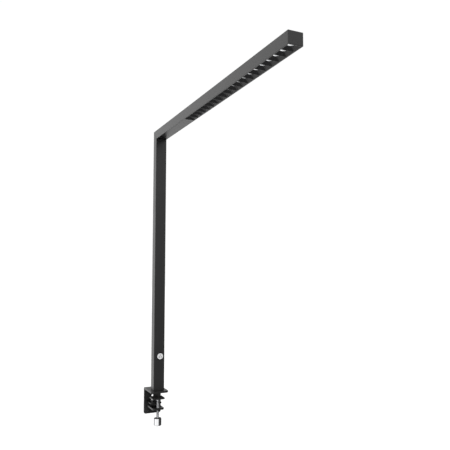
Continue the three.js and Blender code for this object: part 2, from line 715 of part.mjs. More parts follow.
const COLLAR_PROFILE = [[6.4, 0], [10, 0], [10.6, 0.6], [10.6, 3.6], [6.4, 3.6], [6.4, 0]];
add('swivel_collar', turned(COLLAR_PROFILE, 24, 'z', [SCREW_X, 0, PRESS_BOTTOM - 3.8]), ZINC);

// heights in the next two profiles are absolute z
const CLAMP_SCREW_PROFILE = [
  [0, KNOB_BOTTOM + 7.4], [5.4, KNOB_BOTTOM + 7.4], [6, KNOB_BOTTOM + 8],
  [6, PRESS_BOTTOM - 0.8], [5.5, PRESS_BOTTOM - 0.3], [4.5, PRESS_BOTTOM - 0.3],
  [4.5, PRESS_BOTTOM + 3.7], [4, PRESS_BOTTOM + 4.2], [0, PRESS_BOTTOM + 4.2],
];
add('clamp_screw', turned(CLAMP_SCREW_PROFILE, 24, 'z', [SCREW_X, 0, 0]), STEEL);

// chamfered edges and a shallow recess round the screw on top
const KNOB_PROFILE = [
  [0, KNOB_BOTTOM], [KNOB_R - 2, KNOB_BOTTOM], [KNOB_R, KNOB_BOTTOM + 2],
  [KNOB_R, KNOB_TOP - 1.5], [KNOB_R - 1.5, KNOB_TOP], [KNOB_R - 3.5, KNOB_TOP],
  [KNOB_R - 3.5, KNOB_TOP - 1.5], [6.35, KNOB_TOP - 1.5], [6.35, KNOB_BOTTOM + 7],
  [0, KNOB_BOTTOM + 7],
];
const KNOB = turned(KNOB_PROFILE, 32, 'z', [SCREW_X, 0, 0])
  .subtract(rod(2.7, 'x', SCREW_X - KNOB_R - 2, SCREW_X - 5, 0, KNOB_SCREW_Z, 12));
add('clamp_knob', KNOB, CHROME);

const SET_SCREW_PROFILE = [[0, 0], [2.4, 0], [2.4, 8.6], [2.1, 8.9], [0, 8.9]];
add('knob_set_screw',
  turned(SET_SCREW_PROFILE, 12, 'x', [SCREW_X - KNOB_R + 1.2, 0, KNOB_SCREW_Z]), DARK);

export default group;
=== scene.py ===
# Desk lamp on a table clamp. The square column stands on x = y = 0, the arm runs from its
# top along +x with the light cells facing down, and the desk top lies at z = 0.
# Shapes are worked out in millimetres; materials, stage and camera are in metres.
import json
import math

import bmesh
import bpy
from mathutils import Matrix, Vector, geometry

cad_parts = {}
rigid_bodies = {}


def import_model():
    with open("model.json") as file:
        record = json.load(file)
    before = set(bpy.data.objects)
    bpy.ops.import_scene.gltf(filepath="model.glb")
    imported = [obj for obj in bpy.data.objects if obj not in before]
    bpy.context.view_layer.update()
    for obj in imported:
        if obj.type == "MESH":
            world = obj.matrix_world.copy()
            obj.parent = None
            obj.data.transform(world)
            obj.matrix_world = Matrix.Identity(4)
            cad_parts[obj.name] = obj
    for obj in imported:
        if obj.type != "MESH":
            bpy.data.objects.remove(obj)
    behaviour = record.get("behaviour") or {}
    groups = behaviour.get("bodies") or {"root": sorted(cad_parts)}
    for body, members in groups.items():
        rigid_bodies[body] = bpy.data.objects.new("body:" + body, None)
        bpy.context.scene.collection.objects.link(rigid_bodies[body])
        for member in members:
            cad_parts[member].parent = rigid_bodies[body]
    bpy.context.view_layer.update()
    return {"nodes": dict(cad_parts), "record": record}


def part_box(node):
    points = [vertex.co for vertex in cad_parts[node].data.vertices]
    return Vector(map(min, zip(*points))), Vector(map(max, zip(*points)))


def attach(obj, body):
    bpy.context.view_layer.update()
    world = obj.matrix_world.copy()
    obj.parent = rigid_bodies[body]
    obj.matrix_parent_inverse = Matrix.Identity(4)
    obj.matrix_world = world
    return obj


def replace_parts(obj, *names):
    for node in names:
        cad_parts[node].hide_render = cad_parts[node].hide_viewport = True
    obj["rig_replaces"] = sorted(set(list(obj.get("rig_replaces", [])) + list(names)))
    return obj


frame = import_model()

SCENE = bpy.context.scene
MM = 0.001
PI = math.pi


def box(node):
    """Lowest and highest corner of a CAD node."""
    lo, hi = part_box(node)
    return lo * 1000, hi * 1000


def middle(node, axis):
    lo, hi = box(node)
    return (getattr(lo, axis) + getattr(hi, axis)) / 2


# --------------------------------------------------------------------------
# driving dimensions, mm
# --------------------------------------------------------------------------

COLUMN_LO, COLUMN_HI = box("column_tube")
ARM_LO, ARM_HI = box("arm_profile")
HALF_X, HALF_Y = COLUMN_HI.x, COLUMN_HI.y
WALL, EDGE_R = 2.5, 1.0
ARM_FOOT, ARM_TOP, ARM_END = ARM_LO.z, ARM_HI.z, ARM_HI.x
INNER_Y = HALF_Y - WALL

# slot along the underside of the arm, and the ledges above it
LIP_HALF, LIP_T = 21.5, 1.8
LEDGE_HALF, LEDGE_T = 20.5, 1.5
LEDGE_FOOT = ARM_FOOT + 16
LEDGE_TOP = LEDGE_FOOT + LEDGE_T
CELLS = 10                              # light cells in each module

BUTTON_Y, BUTTON_Z = middle("button_cap", "y"), middle("button_cap", "z")
BUTTON_LO, BUTTON_HI = box("button_cap")
BUTTON_R = (BUTTON_HI.y - BUTTON_LO.y) / 2
BARREL_R = 11.0
INLET_Z = middle("power_inlet", "z")
PLUG_SCREW_Y = abs(middle("plug_screw_left", "y"))
PLUG_SCREW_Z = middle("plug_screw_left", "z")

PLATE_T = 8.0                           # clamp bracket and jaw floor
BEND_R, INNER_BEND_R = 2.5, 1.0
JAW_LO, JAW_HI = box("lower_jaw")
JAW_LIP_T, JAW_WEB_T = 6.0, 6.0
JAW_LIP_FRONT = -17.0
JAW_BOLT_Y = abs(middle("jaw_bolt_left", "y"))
JAW_BOLT_Z = middle("jaw_bolt_left", "z")
BOLT_R, BOLT_HOLE_R = 3.0, 3.4

SCREW_X = middle("clamp_screw", "x")
THREAD_PITCH, CREST_R, ROOT_R = 1.75, 6.0, 5.35
KNOB_LO, KNOB_HI = box("clamp_knob")
GRUB_Z = KNOB_LO.z + 14


# --------------------------------------------------------------------------
# materials: built from nodes, in object space (metres)
# --------------------------------------------------------------------------


class Nodes:
    """A node tree. Any value may be a plain number or colour, or the socket that feeds it."""

    def __init__(self, tree):
        self.tree = tree
        tree.nodes.clear()

    def feed(self, socket, value):
        if isinstance(value, bpy.types.NodeSocket):
            self.tree.links.new(value, socket)
        else:
            socket.default_value = value

    def node(self, kind, inputs=None, **settings):
        made = self.tree.nodes.new("ShaderNode" + kind)
        for key, value in settings.items():
            setattr(made, key, value)
        for key, value in (inputs or {}).items():
            self.feed(made.inputs[key], value)
        return made

    def math(self, operation, a, b):
        return self.node("Math", {0: a, 1: b}, operation=operation).outputs[0]

    def times(self, a, b):
        return self.math("MULTIPLY", a, b)

    def plus(self, a, b):
        return self.math("ADD", a, b)

    def minus(self, a, b):
        return self.math("SUBTRACT", a, b)

    def dot(self, a, b):
        return self.node("VectorMath", {0: a, 1: b}, operation="DOT_PRODUCT").outputs["Value"]

    def span(self, value, low, high, start=0.0, end=1.0):
        """low where the value is at start, high where it is at end."""
        inputs = {"From Min": start, "From Max": end, "To Min": low, "To Max": high}
        return self.node("MapRange", {**inputs, "Value": value}).outputs[0]

    def step(self, value, start, end):
        """Smooth step from 0 at start to 1 at end."""
        inputs = {"From Min": start, "From Max": end, "Value": value}
        return self.node("MapRange", inputs, interpolation_type="SMOOTHSTEP").outputs[0]


class Mat(Nodes):
    """A material with one Principled shader."""

    def __init__(self, name):
        self.mat = bpy.data.materials.new(name)
        self.mat.use_nodes = True
        super().__init__(self.mat.node_tree)
        self.output = self.node("OutputMaterial")
        self.shader = self.node("BsdfPrincipled")
        self.feed(self.output.inputs["Surface"], self.shader.outputs[0])
        self.object_coords = self.node("TexCoord").outputs["Object"]
        self.normal = None

    def set(self, **values):
        """Shader inputs by name, with _ for a space."""
        for key, value in values.items():
            self.feed(self.shader.inputs[key.replace("_", " ")], value)

    def coords(self, stretch):
        inputs = {"Scale": stretch, "Vector": self.object_coords}
        return self.node("Mapping", inputs).outputs[0]

    def noise(self, scale, detail=3.0, rough=0.55, stretch=(1, 1, 1)):
        inputs = {"Scale": scale, "Detail": detail, "Roughness": rough}
        return self.node("TexNoise", {**inputs, "Vector": self.coords(stretch)}).outputs[0]

    def voronoi(self, scale):
        inputs = {"Scale": scale, "Vector": self.coords((1, 1, 1))}
        return self.node("TexVoronoi", inputs).outputs["Distance"]

    def wave(self, scale, direction, profile="SIN"):
        inputs = {"Scale": scale, "Vector": self.coords((1, 1, 1))}
        return self.node("TexWave", inputs, bands_direction=direction,
                         wave_profile=profile).outputs[1]

    def ramp(self, value, low, high, start=0.3, end=0.7):
        """Colour low where the value is at start, high where it is at end."""
        made = self.node("ValToRGB", {0: value})
        elements = made.color_ramp.elements
        for element, position, colour in zip(elements, (start, end), (low, high)):
            element.position = position
            element.color = (*colour, 1)
        return made.outputs[0]

    def mix(self, factor, a, colour):
        inputs = {0: factor, 6: a, 7: (*colour, 1)}
        return self.node("Mix", inputs, data_type="RGBA").outputs[2]

    def bump(self, height, strength, distance):
        """Adds a bump on top of those already there."""
        made = self.node("Bump", {"Strength": strength, "Distance": distance, "Height": height})
        if self.normal:
            self.feed(made.inputs["Normal"], self.normal)
        self.normal = made.outputs[0]
        self.set(Normal=self.normal)

    def rim(self, start, end):
        """Rises from start to end as faces turn from the eye; 0 on faces seen square on. Used to
        paint view-dependent shade into a base colour.
        """
        facing = self.node("LayerWeight", {"Blend": 0.5}).outputs["Facing"]
        return self.span(facing, 0.0, 1.0, start=start, end=end)

    def object_axis(self, k):
        return self.node("SeparateXYZ", {0: self.object_coords}).outputs[k]

    def edge(self, radius):
        """1 near a sharp edge, 0 on open faces: how far the averaged normal leans off."""
        averaged = self.node("Bevel", {"Radius": radius}, samples=4).outputs[0]
        own = self.node("NewGeometry").outputs["Normal"]
        return self.span(self.dot(averaged, own), 0.0, 1.0, start=0.985, end=0.80)


def satin_black(name, tone):
    """Flecked black with edges lightened, partly as faint wear and partly as a painted edge
    highlight; tone is its brightness.
    """
    m = Mat(name)
    speck = m.noise(scale=2600.0, detail=2, rough=0.6)
    wear = m.span(m.noise(scale=160.0, detail=4), 0.0, 1.0, start=0.42, end=0.62)
    # edge mask times a wear patch: lighter edges, partly wear and partly a painted edge highlight
    wear_and_edge_highlight = m.times(m.edge(radius=0.0007), wear)
    base = m.ramp(m.noise(scale=9.0, detail=4),
                  low=(0.86 * tone, 0.86 * tone, 0.90 * tone),
                  high=(1.12 * tone, 1.12 * tone, 1.16 * tone), start=0.30, end=0.70)
    flecked = m.mix(m.span(speck, 0.0, 0.5, start=0.55, end=0.80), base,
                    colour=(1.9 * tone, 1.9 * tone, 1.96 * tone))
    drift = m.span(m.noise(scale=14.0, detail=3), -0.012, 0.012)
    m.set(Base_Color=m.mix(m.times(wear_and_edge_highlight, 0.30), flecked, colour=(0.07, 0.07, 0.072)),
          Roughness=m.plus(drift, m.span(speck, 0.35, 0.40)), IOR=1.5)
    m.bump(m.noise(scale=1400.0, detail=2), strength=0.05, distance=0.00005)
    m.bump(speck, strength=0.06, distance=0.00003)
    return m.mat


def louvre_black():
    m = Mat("louvre_gloss_black")
    m.set(Base_Color=m.ramp(m.noise(scale=14.0), low=(0.0175, 0.0175, 0.0182),
                            high=(0.0225, 0.0225, 0.0232)),
          Roughness=m.span(m.noise(scale=55.0, detail=5), 0.10, 0.19, start=0.3, end=0.7),
          IOR=1.25)
    m.bump(m.noise(scale=260.0, detail=2), strength=0.04, distance=0.0001)
    return m.mat


def lens_glow(strength):
    """Lit lens, its glow painted dimmer towards +y as shade across each lens."""
    m = Mat("lens_luminous")
    grain = m.noise(scale=420.0)
    # glow dimmed from -y to +y: painted shade across each lens
    painted_shade_towards_y = m.span(m.object_axis(1), 1.0, 0.34, start=-0.0075, end=0.0065)
    m.set(Base_Color=m.ramp(grain, low=(0.42, 0.43, 0.44), high=(0.48, 0.485, 0.49)),
          Roughness=m.span(grain, 0.12, 0.22),
          Emission_Color=m.ramp(m.noise(scale=90.0), low=(0.96, 0.98, 1.0),
                                high=(1.0, 1.0, 1.0)),
          Emission_Strength=m.times(painted_shade_towards_y, m.span(grain, strength * 0.94, strength * 1.06)),
          IOR=1.49, Coat_Weight=0.3, Coat_Roughness=0.05)
    return m.mat


def opal_carrier():
    m = Mat("lens_carrier_opal")
    grain = m.noise(scale=350.0)
    m.set(Base_Color=m.ramp(grain, low=(0.74, 0.76, 0.78), high=(0.82, 0.83, 0.84)),
          Roughness=m.span(grain, 0.22, 0.34),
          IOR=1.49, Subsurface_Weight=0.15, Subsurface_Scale=0.004)
    m.bump(grain, strength=0.05, distance=0.0001)
    return m.mat


def satin_metal(name, tone, metal):
    """Satin metal with a fine grain; tone is its brightness."""
    m = Mat(name)
    fine = m.noise(scale=7000.0, detail=2)
    m.set(Base_Color=m.ramp(m.noise(scale=380.0, detail=4),
                            low=[tone * k for k in (0.97, 0.975, 0.985)],
                            high=[tone * k for k in (1.03, 1.035, 1.045)],
                            start=0.25, end=0.75),
          Roughness=m.span(fine, 0.20, 0.30), Metallic=metal)
    m.bump(fine, strength=0.10, distance=0.00002)
    return m.mat


def polished_chrome():
    m = Mat("knob_polished_chrome")
    rings = m.noise(scale=60.0, stretch=(1, 1, 90))
    plated = m.ramp(m.noise(scale=70.0, detail=4), low=(0.81, 0.815, 0.83),
                    high=(0.87, 0.875, 0.885))
    smudge = m.span(m.noise(scale=240.0, detail=5), 0.0, 0.035, start=0.45, end=0.75)
    # base colour painted darker towards the rim: a painted dark reflection at the knob's edges
    m.set(Base_Color=m.mix(m.rim(0.27, 0.50), plated, colour=(0.10, 0.102, 0.106)),
          Roughness=m.plus(m.span(rings, 0.035, 0.075), smudge), Metallic=1.0)
    m.bump(rings, strength=0.04, distance=0.00006)
    return m.mat


def bright_steel():
    m = Mat("screw_bright_steel")
    lines = m.noise(scale=90.0, stretch=(1, 1, 60))
    turned_face = m.ramp(m.noise(scale=300.0, detail=5), low=(0.56, 0.565, 0.58),
                         high=(0.68, 0.685, 0.695), start=0.25, end=0.75)
    # base colour painted darker towards the rim: a painted dark reflection along the rod's edges
    m.set(Base_Color=m.mix(m.rim(0.04, 0.45), turned_face, colour=(0.17, 0.174, 0.182)),
          Roughness=m.span(lines, 0.13, 0.22), Metallic=1.0)
    m.bump(lines, strength=0.06, distance=0.00005)
    return m.mat


def zinc():
    m = Mat("zinc_plated")
    spangle = m.times(m.voronoi(scale=420.0), m.noise(scale=180.0, detail=4))
    m.set(Base_Color=m.ramp(spangle, low=(0.34, 0.35, 0.36), high=(0.46, 0.475, 0.49),
                            start=0.10, end=0.42),
          Roughness=m.span(m.noise(scale=700.0, detail=4), 0.28, 0.44), Metallic=1.0)
    m.bump(m.noise(scale=1800.0), strength=0.12, distance=0.00004)
    return m.mat


def blackened_screw():
    m = Mat("fastener_blackened")
    m.set(Base_Color=m.ramp(m.noise(scale=500.0, detail=4), low=(0.018, 0.018, 0.02),
                            high=(0.045, 0.045, 0.048)),
          Roughness=m.span(m.noise(scale=900.0), 0.30, 0.46), Metallic=0.85)
    m.bump(m.noise(scale=2200.0), strength=0.10, distance=0.00003)
    return m.mat


def knob_top_black():
    m = Mat("knob_top_matt_black")
    grain = m.noise(scale=1300.0)
    m.set(Base_Color=m.ramp(m.noise(scale=160.0), low=(0.026, 0.026, 0.028),
                            high=(0.036, 0.036, 0.038)),
          Roughness=m.span(grain, 0.50, 0.66), Specular_IOR_Level=0.06)
    m.bump(grain, strength=0.08, distance=0.00004)
    return m.mat


def dark_plastic():
    m = Mat("dark_moulded_plastic")
    erode = m.voronoi(scale=2400.0)
    m.set(Base_Color=m.ramp(m.noise(scale=120.0), low=(0.0085, 0.0085, 0.009),
                            high=(0.014, 0.014, 0.0145)),
          Roughness=m.span(erode, 0.42, 0.58, start=0.0, end=0.6), IOR=1.30)
    m.bump(erode, strength=0.14, distance=0.00004)
    return m.mat


def rubber():
    m = Mat("pad_rubber")
    weave = m.times(m.wave(scale=130.0, direction="X"), m.wave(scale=130.0, direction="Y"))
    m.set(Base_Color=m.ramp(m.noise(scale=240.0, detail=5), low=(0.007, 0.007, 0.007),
                            high=(0.015, 0.015, 0.0147)),
          Roughness=m.span(m.noise(scale=900.0, detail=4), 0.72, 0.92), IOR=1.33)
    m.bump(weave, strength=0.5, distance=0.00015)
    m.bump(m.noise(scale=3000.0), strength=0.2, distance=0.00005)
    return m.mat


def board_white():
    m = Mat("board_solder_mask_white")
    tracks = m.wave(scale=34.0, direction="Y", profile="SAW")
    lines = m.span(tracks, 1.0, 0.0, start=0.90, end=0.93)
    base = m.ramp(m.noise(scale=150.0, detail=4), low=(0.74, 0.75, 0.74),
                  high=(0.80, 0.81, 0.80))
    m.set(Base_Color=m.mix(m.times(lines, 0.12), base, colour=(0.55, 0.57, 0.55)),
          Roughness=m.span(m.noise(scale=600.0), 0.30, 0.45))
    m.bump(tracks, strength=0.12, distance=0.00004)
    return m.mat


def housing_grey():
    m = Mat("driver_housing_grey")
    erode = m.voronoi(scale=1500.0)
    m.set(Base_Color=m.ramp(m.noise(scale=60.0, detail=4), low=(0.60, 0.61, 0.60),
                            high=(0.68, 0.69, 0.68)),
          Roughness=m.span(erode, 0.42, 0.56, start=0.0, end=0.6))
    m.bump(erode, strength=0.18, distance=0.00005)
    return m.mat


def cable_black():
    m = Mat("lead_sheath_black")
    m.set(Base_Color=m.ramp(m.noise(scale=300.0, detail=4), low=(0.012, 0.012, 0.013),
                            high=(0.022, 0.022, 0.023)),
          Roughness=m.span(m.noise(scale=800.0, stretch=(1, 1, 0.2)), 0.50, 0.68))
    m.bump(m.noise(scale=500.0, stretch=(1, 1, 0.1)), strength=0.15, distance=0.0001)
    return m.mat


# material slot (or an extra look within one) -> material
MATERIALS = {
    "satin_black": satin_black("satin_black_anodised", tone=0.0082),
    "black_steel": satin_black("satin_black_lacquer", tone=0.0040),
    "louvre_black": louvre_black(),
    "lens_opal": lens_glow(strength=0.70),
    "carrier": opal_carrier(),
    "button": satin_metal("button_satin_metal", tone=0.84, metal=0.35),
    # darker copy of the button metal for the dimple faces: painted shade in the recesses
    "dimple": satin_metal("button_dimple_painted_shade", tone=0.26, metal=0.5),
    "chrome": polished_chrome(),
    "bright_steel": bright_steel(),
    "zinc": zinc(),
    "blackened": blackened_screw(),
    "knob_top": knob_top_black(),
    "dark_plastic": dark_plastic(),
    "padding": rubber(),
    "board_white": board_white(),
    "housing_grey": housing_grey(),
    "cable_black": cable_black(),
}

# --------------------------------------------------------------------------
# outlines in a flat (u, v) plane
# --------------------------------------------------------------------------


def signed_area(points):
    pairs = zip(points, points[1:] + points[:1])
    return sum(a[0] * b[1] - b[0] * a[1] for a, b in pairs) / 2


def offset_loop(points, distance):
    """Each corner moved towards the loop's left side, by the exact mitre of its two edges."""
    if abs(distance) < 1e-9:
        return [tuple(p) for p in points]
    out = []
    n = len(points)
    for i in range(n):
        before, corner, after = Vector(points[i - 1]), Vector(points[i]), Vector(points[(i + 1) % n])
        a, b = (corner - before).normalized(), (after - corner).normalized()
        left_a, left_b = Vector((-a.y, a.x)), Vector((-b.y, b.x))
        mitre = left_a + left_b
        size = mitre.length_squared
        # a hairpin corner has no usable mitre
        mitre = mitre * (2.0 / size) if size > 0.2 else left_a
        out.append((corner.x + mitre.x * distance, corner.y + mitre.y * distance))
    return out


def arc(cu, cv, r, a0, a1, n):
    angles = [a0 + (a1 - a0) * i / n for i in range(n + 1)]
    return [(cu + r * math.cos(a), cv + r * math.sin(a)) for a in angles]


def rrect(u0, u1, v0, v1, r, n=6):
    """Rounded rectangle, anticlockwise."""
    return (
        arc(u1 - r, v0 + r, r, -PI / 2, 0, n) + arc(u1 - r, v1 - r, r, 0, PI / 2, n)
        + arc(u0 + r, v1 - r, r, PI / 2, PI, n) + arc(u0 + r, v0 + r, r, PI, 1.5 * PI, n)
    )


def circle(cu, cv, r, n):
    angles = [2 * PI * i / n for i in range(n)]
    return [(cu + r * math.cos(a), cv + r * math.sin(a)) for a in angles]


def hexagon(r, cu, cv, turn=0.0):
    angles = [k * PI / 3 + turn for k in range(6)]
    return [(cu + r * math.cos(a), cv + r * math.sin(a)) for a in angles]


def half_corner(a, b):
    """Half the angle between two unit vectors."""
    return math.acos(max(-1, min(1, a.dot(b)))) / 2


def corner_arc(corner, a, b, half, reach, r, n):
    """Arc of radius r that touches the edges a and b at reach from the corner."""
    c = corner + (a + b).normalized() * (r / math.sin(half))
    start, end = corner + a * reach, corner + b * reach
    a0 = math.atan2(start.y - c.y, start.x - c.x)
    a1 = math.atan2(end.y - c.y, end.x - c.x)
    sweep = (a1 - a0 + PI) % (2 * PI) - PI
    angles = [a0 + sweep * k / n for k in range(n + 1)]
    return [(c.x + r * math.cos(t), c.y + r * math.sin(t)) for t in angles]


def fillet(points, n=5):
    """Closed outline from [(u, v, radius)]: corners with a radius become arcs."""
    out = []
    for i, (u, v, r) in enumerate(points):
        corner = Vector((u, v))
        a = (Vector(points[i - 1][:2]) - corner).normalized()
        b = (Vector(points[(i + 1) % len(points)][:2]) - corner).normalized()
        half = half_corner(a, b)
        out += corner_arc(corner, a, b, half, r / math.tan(half), r, n)
    return out


def soften(profile, r, n=3):
    """Rounds the inner corners of an open profile by r, or less where edges are short."""
    out = [profile[0]]
    for before, at, after in zip(profile, profile[1:], profile[2:]):
        p0, p1, p2 = Vector(before), Vector(at), Vector(after)
        len_a, len_b = (p0 - p1).length, (p2 - p1).length
        if min(len_a, len_b) < 1e-6:
            continue
        a, b = (p0 - p1) / len_a, (p2 - p1) / len_b
        if a.dot(b) < -0.985:           # nearly straight
            out.append(tuple(p1))
            continue
        half = half_corner(a, b)
        reach = min(r / math.tan(half), len_a * 0.45, len_b * 0.45)
        out += corner_arc(p1, a, b, half, reach, reach * math.tan(half), n)
    out.append(profile[-1])
    return out


def round_rings(w0, w1, r, n=4, r_end=None):
    """(offset, depth) rings of a wall from w0 to w1, its edges rounded by r and r_end."""
    r_end = r if r_end is None else r_end
    turns = [k / n * PI / 2 for k in range(n + 1)]
    start, end = [(0.0, w0)], [(0.0, w1)]
    if r > 0:
        start = [(r * (1 - math.sin(t)), w0 + r * (1 - math.cos(t))) for t in turns]
    if r_end > 0:
        end = [(r_end * (1 - math.cos(t)), w1 - r_end * (1 - math.sin(t))) for t in turns]
    return start + end


# --------------------------------------------------------------------------
# bodies
# --------------------------------------------------------------------------

# a body's own axis -> its (u, v, w) as (x, y, z), and which coordinates u and v are
PLACE = {"x": lambda u, v, w: (w, u, v), "z": lambda u, v, w: (u, v, w)}
FLAT = {"x": (1, 2), "z": (0, 1)}


def bridge(bm, a, b, material=0):
    """Faces between two rings of vertices; either may be a single point."""
    n = max(len(a), len(b))
    for k in range(n):
        j = (k + 1) % n
        if len(a) == 1:
            corners = (a[0], b[k], b[j])
        elif len(b) == 1:
            corners = (a[k], a[j], b[0])
        else:
            corners = (a[k], a[j], b[j], b[k])
        bm.faces.new(corners).material_index = material


def bridge_all(bm, rings, material=0):
    for a, b in zip(rings, rings[1:]):
        bridge(bm, a, b, material)


def fill(bm, loops, axis, material=0):
    """A flat cap: the first loop is its outline, the others are holes that run opposite."""
    if len(loops) == 1:
        bm.faces.new(loops[0])
        return
    i, j = FLAT[axis]
    corners = [v for loop in loops for v in loop]
    polygons = [[Vector((v.co[i], v.co[j], 0)) for v in loop] for loop in loops]
    for triangle in geometry.tessellate_polygon(polygons):
        picked = [corners[k] for k in triangle]
        if len(set(picked)) == 3:
            bm.faces.new(picked).material_index = material


def shell(bm, loops, axis):
    """A closed body between two caps. loops: [(points, rings)], outer first, then holes.
    Rings are (offset into the material, depth) from the first cap to the second; a depth
    may be a function of (u, v). A hole whose rings end with "blind" is closed there."""
    first, last = [], []
    for i, (points, rings) in enumerate(loops):
        blind = rings[-1] == "blind"
        rings = rings[:-1] if blind else rings
        points = list(points)
        # material lies left of an anticlockwise outline and of a clockwise hole
        if (i == 0) != (signed_area(points) > 0):
            points.reverse()
        made = [[bm.verts.new(PLACE[axis](u, v, w(u, v) if callable(w) else w))
                 for u, v in offset_loop(points, offset)] for offset, w in rings]
        bridge_all(bm, made)
        first.append(made[0])
        if blind:
            bm.faces.new(list(reversed(made[-1])))
        else:
            last.append(made[-1])
    fill(bm, first, axis)
    fill(bm, last, axis)


def lathe(bm, profile, n, centre, axis="z", material=0):
    """A turned body from [(radius, height)]. A profile that ends where it starts is closed
    on itself. Returns its rings of vertices."""
    closed = profile[0] == profile[-1]
    rings = []
    for r, height in profile[:-1] if closed else profile:
        flat = [(0, 0)] if r < 1e-6 else circle(0, 0, r, n)
        spots = [PLACE[axis](u, v, height) for u, v in flat]
        rings.append([bm.verts.new([c + p for c, p in zip(centre, spot)]) for spot in spots])
    bridge_all(bm, rings, material)
    if closed:
        bridge(bm, rings[-1], rings[0], material)
    return rings


def solid(bm, name):
    """Cleans the body, scales it to metres and puts it in the scene."""
    bmesh.ops.remove_doubles(bm, verts=bm.verts, dist=1e-5)
    bmesh.ops.dissolve_degenerate(bm, edges=bm.edges, dist=1e-6)
    bmesh.ops.recalc_face_normals(bm, faces=bm.faces)
    for v in bm.verts:
        v.co *= MM
    mesh = bpy.data.meshes.new(name)
    bm.to_mesh(mesh)
    bm.free()
    ob = bpy.data.objects.new(name, mesh)
    SCENE.collection.objects.link(ob)
    return ob


def walled(name, loops, axis):
    bm = bmesh.new()
    shell(bm, loops, axis)
    return solid(bm, name)


def plate(name, outline, w0, w1, axis, r, holes=(), n=4):
    """A plate from w0 to w1 with edges rounded by r; holes are (points, rings)."""
    return walled(name, [(outline, round_rings(w0, w1, r, n)), *holes], axis)


def turned(name, profile, n, centre, axis="z"):
    bm = bmesh.new()
    lathe(bm, profile, n, centre, axis)
    return solid(bm, name)


def boolean(base, operation, *tools):
    """Joins or cuts base with each tool by the exact solver, and removes the tools."""
    for tool in tools:
        mod = base.modifiers.new("b", "BOOLEAN")
        mod.operation = operation
        mod.solver = "EXACT"
        mod.object = tool
        depsgraph = bpy.context.evaluated_depsgraph_get()
        mesh = bpy.data.meshes.new_from_object(base.evaluated_get(depsgraph))
        base.modifiers.clear()
        old = base.data
        base.data = mesh
        mesh.name = base.name
        bpy.data.meshes.remove(old)
        bpy.data.objects.remove(tool)


def finish_piece(ob, node, slot, body="root", looks=None, angle=32):
    mesh = ob.data
    indices = [p.material_index for p in mesh.polygons]     # clear() resets them
    mesh.materials.clear()
    for look in looks or [slot]:
        mesh.materials.append(MATERIALS[look])
    mesh.polygons.foreach_set("material_index", indices)
    mesh.polygons.foreach_set("use_smooth", [True] * len(mesh.polygons))
    mesh.set_sharp_from_angle(angle=math.radians(angle))
    mesh.update()
    weighted = ob.modifiers.new("weighted", "WEIGHTED_NORMAL")
    weighted.keep_sharp = True
    weighted.weight = 60
    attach(ob, body)
    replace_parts(ob, node)


# --------------------------------------------------------------------------
# column, arm, cover, end cap
# --------------------------------------------------------------------------


def build_column():
    """Square tube, mitred at the top, with openings for button, inlet and two screws."""
    mitre = COLUMN_HI.z + COLUMN_LO.x   # x + z on the mitre
    foot = COLUMN_LO.z

    def slope(below):
        return lambda x, y: mitre - x - below

    outer = [(0.35, foot), (0.10, foot + 0.10), (0.0, foot + 0.35),
             (0.0, slope(0.3)), (0.12, slope(0.08)), (0.30, slope(0.0))]
    inner = [(0.2, foot), (0.0, foot + 0.2), (0.0, slope(0.2)), (0.2, slope(0.0))]
    inner_x = HALF_X - WALL
    column = walled("column_body", [
        (rrect(-HALF_X, HALF_X, -HALF_Y, HALF_Y, EDGE_R, 7), outer),
        (rrect(-inner_x, inner_x, -INNER_Y, INNER_Y, 0.8, 4), inner),
    ], "z")
    bore = BARREL_R + 0.3
    cuts = [
        turned("cut", [(0, 8), (bore, 8), (bore, 30), (0, 30)], 64,
               (0, BUTTON_Y, BUTTON_Z), "x"),
        plate("cut", rrect(-12.2, 12.2, INLET_Z - 8.2, INLET_Z + 8.2, 1.5), -30, -10, "x", r=0),
    ]
    # (radius, depth from the rear face)
    countersink = [(0, -1), (5.5, -1), (5.4, 0.1), (2.8, 2.7), (2.8, 12), (0, 12)]
    for side in (-1, 1):
        centre = (-HALF_X, side * PLUG_SCREW_Y, PLUG_SCREW_Z)
        cuts.append(turned("cut", countersink, 40, centre, "x"))
    boolean(column, "DIFFERENCE", *cuts)
    finish_piece(column, "column_tube", "satin_black")


def build_arm():
    """Mitred profile with slot lips below and ledges inside."""
    mitre = ARM_LO.x + ARM_HI.z         # x + z on the mitre

    def slope(beyond):
        return lambda y, z: mitre - z + beyond

    lip_top, ceiling = ARM_FOOT + LIP_T, ARM_TOP - WALL
    # (y, z, corner radius) of the -y side, from the foot up the inner wall
    side = [
        (-HALF_Y, ARM_FOOT, EDGE_R), (-LIP_HALF, ARM_FOOT, 0.25),
        (-LIP_HALF, lip_top, 0.2), (-INNER_Y, lip_top, 0.3),
        (-INNER_Y, LEDGE_FOOT, 0.3), (-LEDGE_HALF, LEDGE_FOOT, 0.2),
        (-LEDGE_HALF, LEDGE_TOP, 0.2), (-INNER_Y, LEDGE_TOP, 0.3),
        (-INNER_Y, ceiling, 0.6),
    ]
    mirrored = [(-y, z, r) for y, z, r in reversed(side)]
    outside = [(HALF_Y, ARM_TOP, EDGE_R), (-HALF_Y, ARM_TOP, EDGE_R)]
    rings = [(0.15, slope(0.0)), (0.05, slope(0.05)), (0.0, slope(0.2)),
             (0.0, ARM_END - 0.2), (0.05, ARM_END - 0.05), (0.15, ARM_END)]
    arm = walled("arm_body", [(fillet(side + mirrored + outside), rings)], "x")
    finish_piece(arm, "arm_profile", "satin_black")


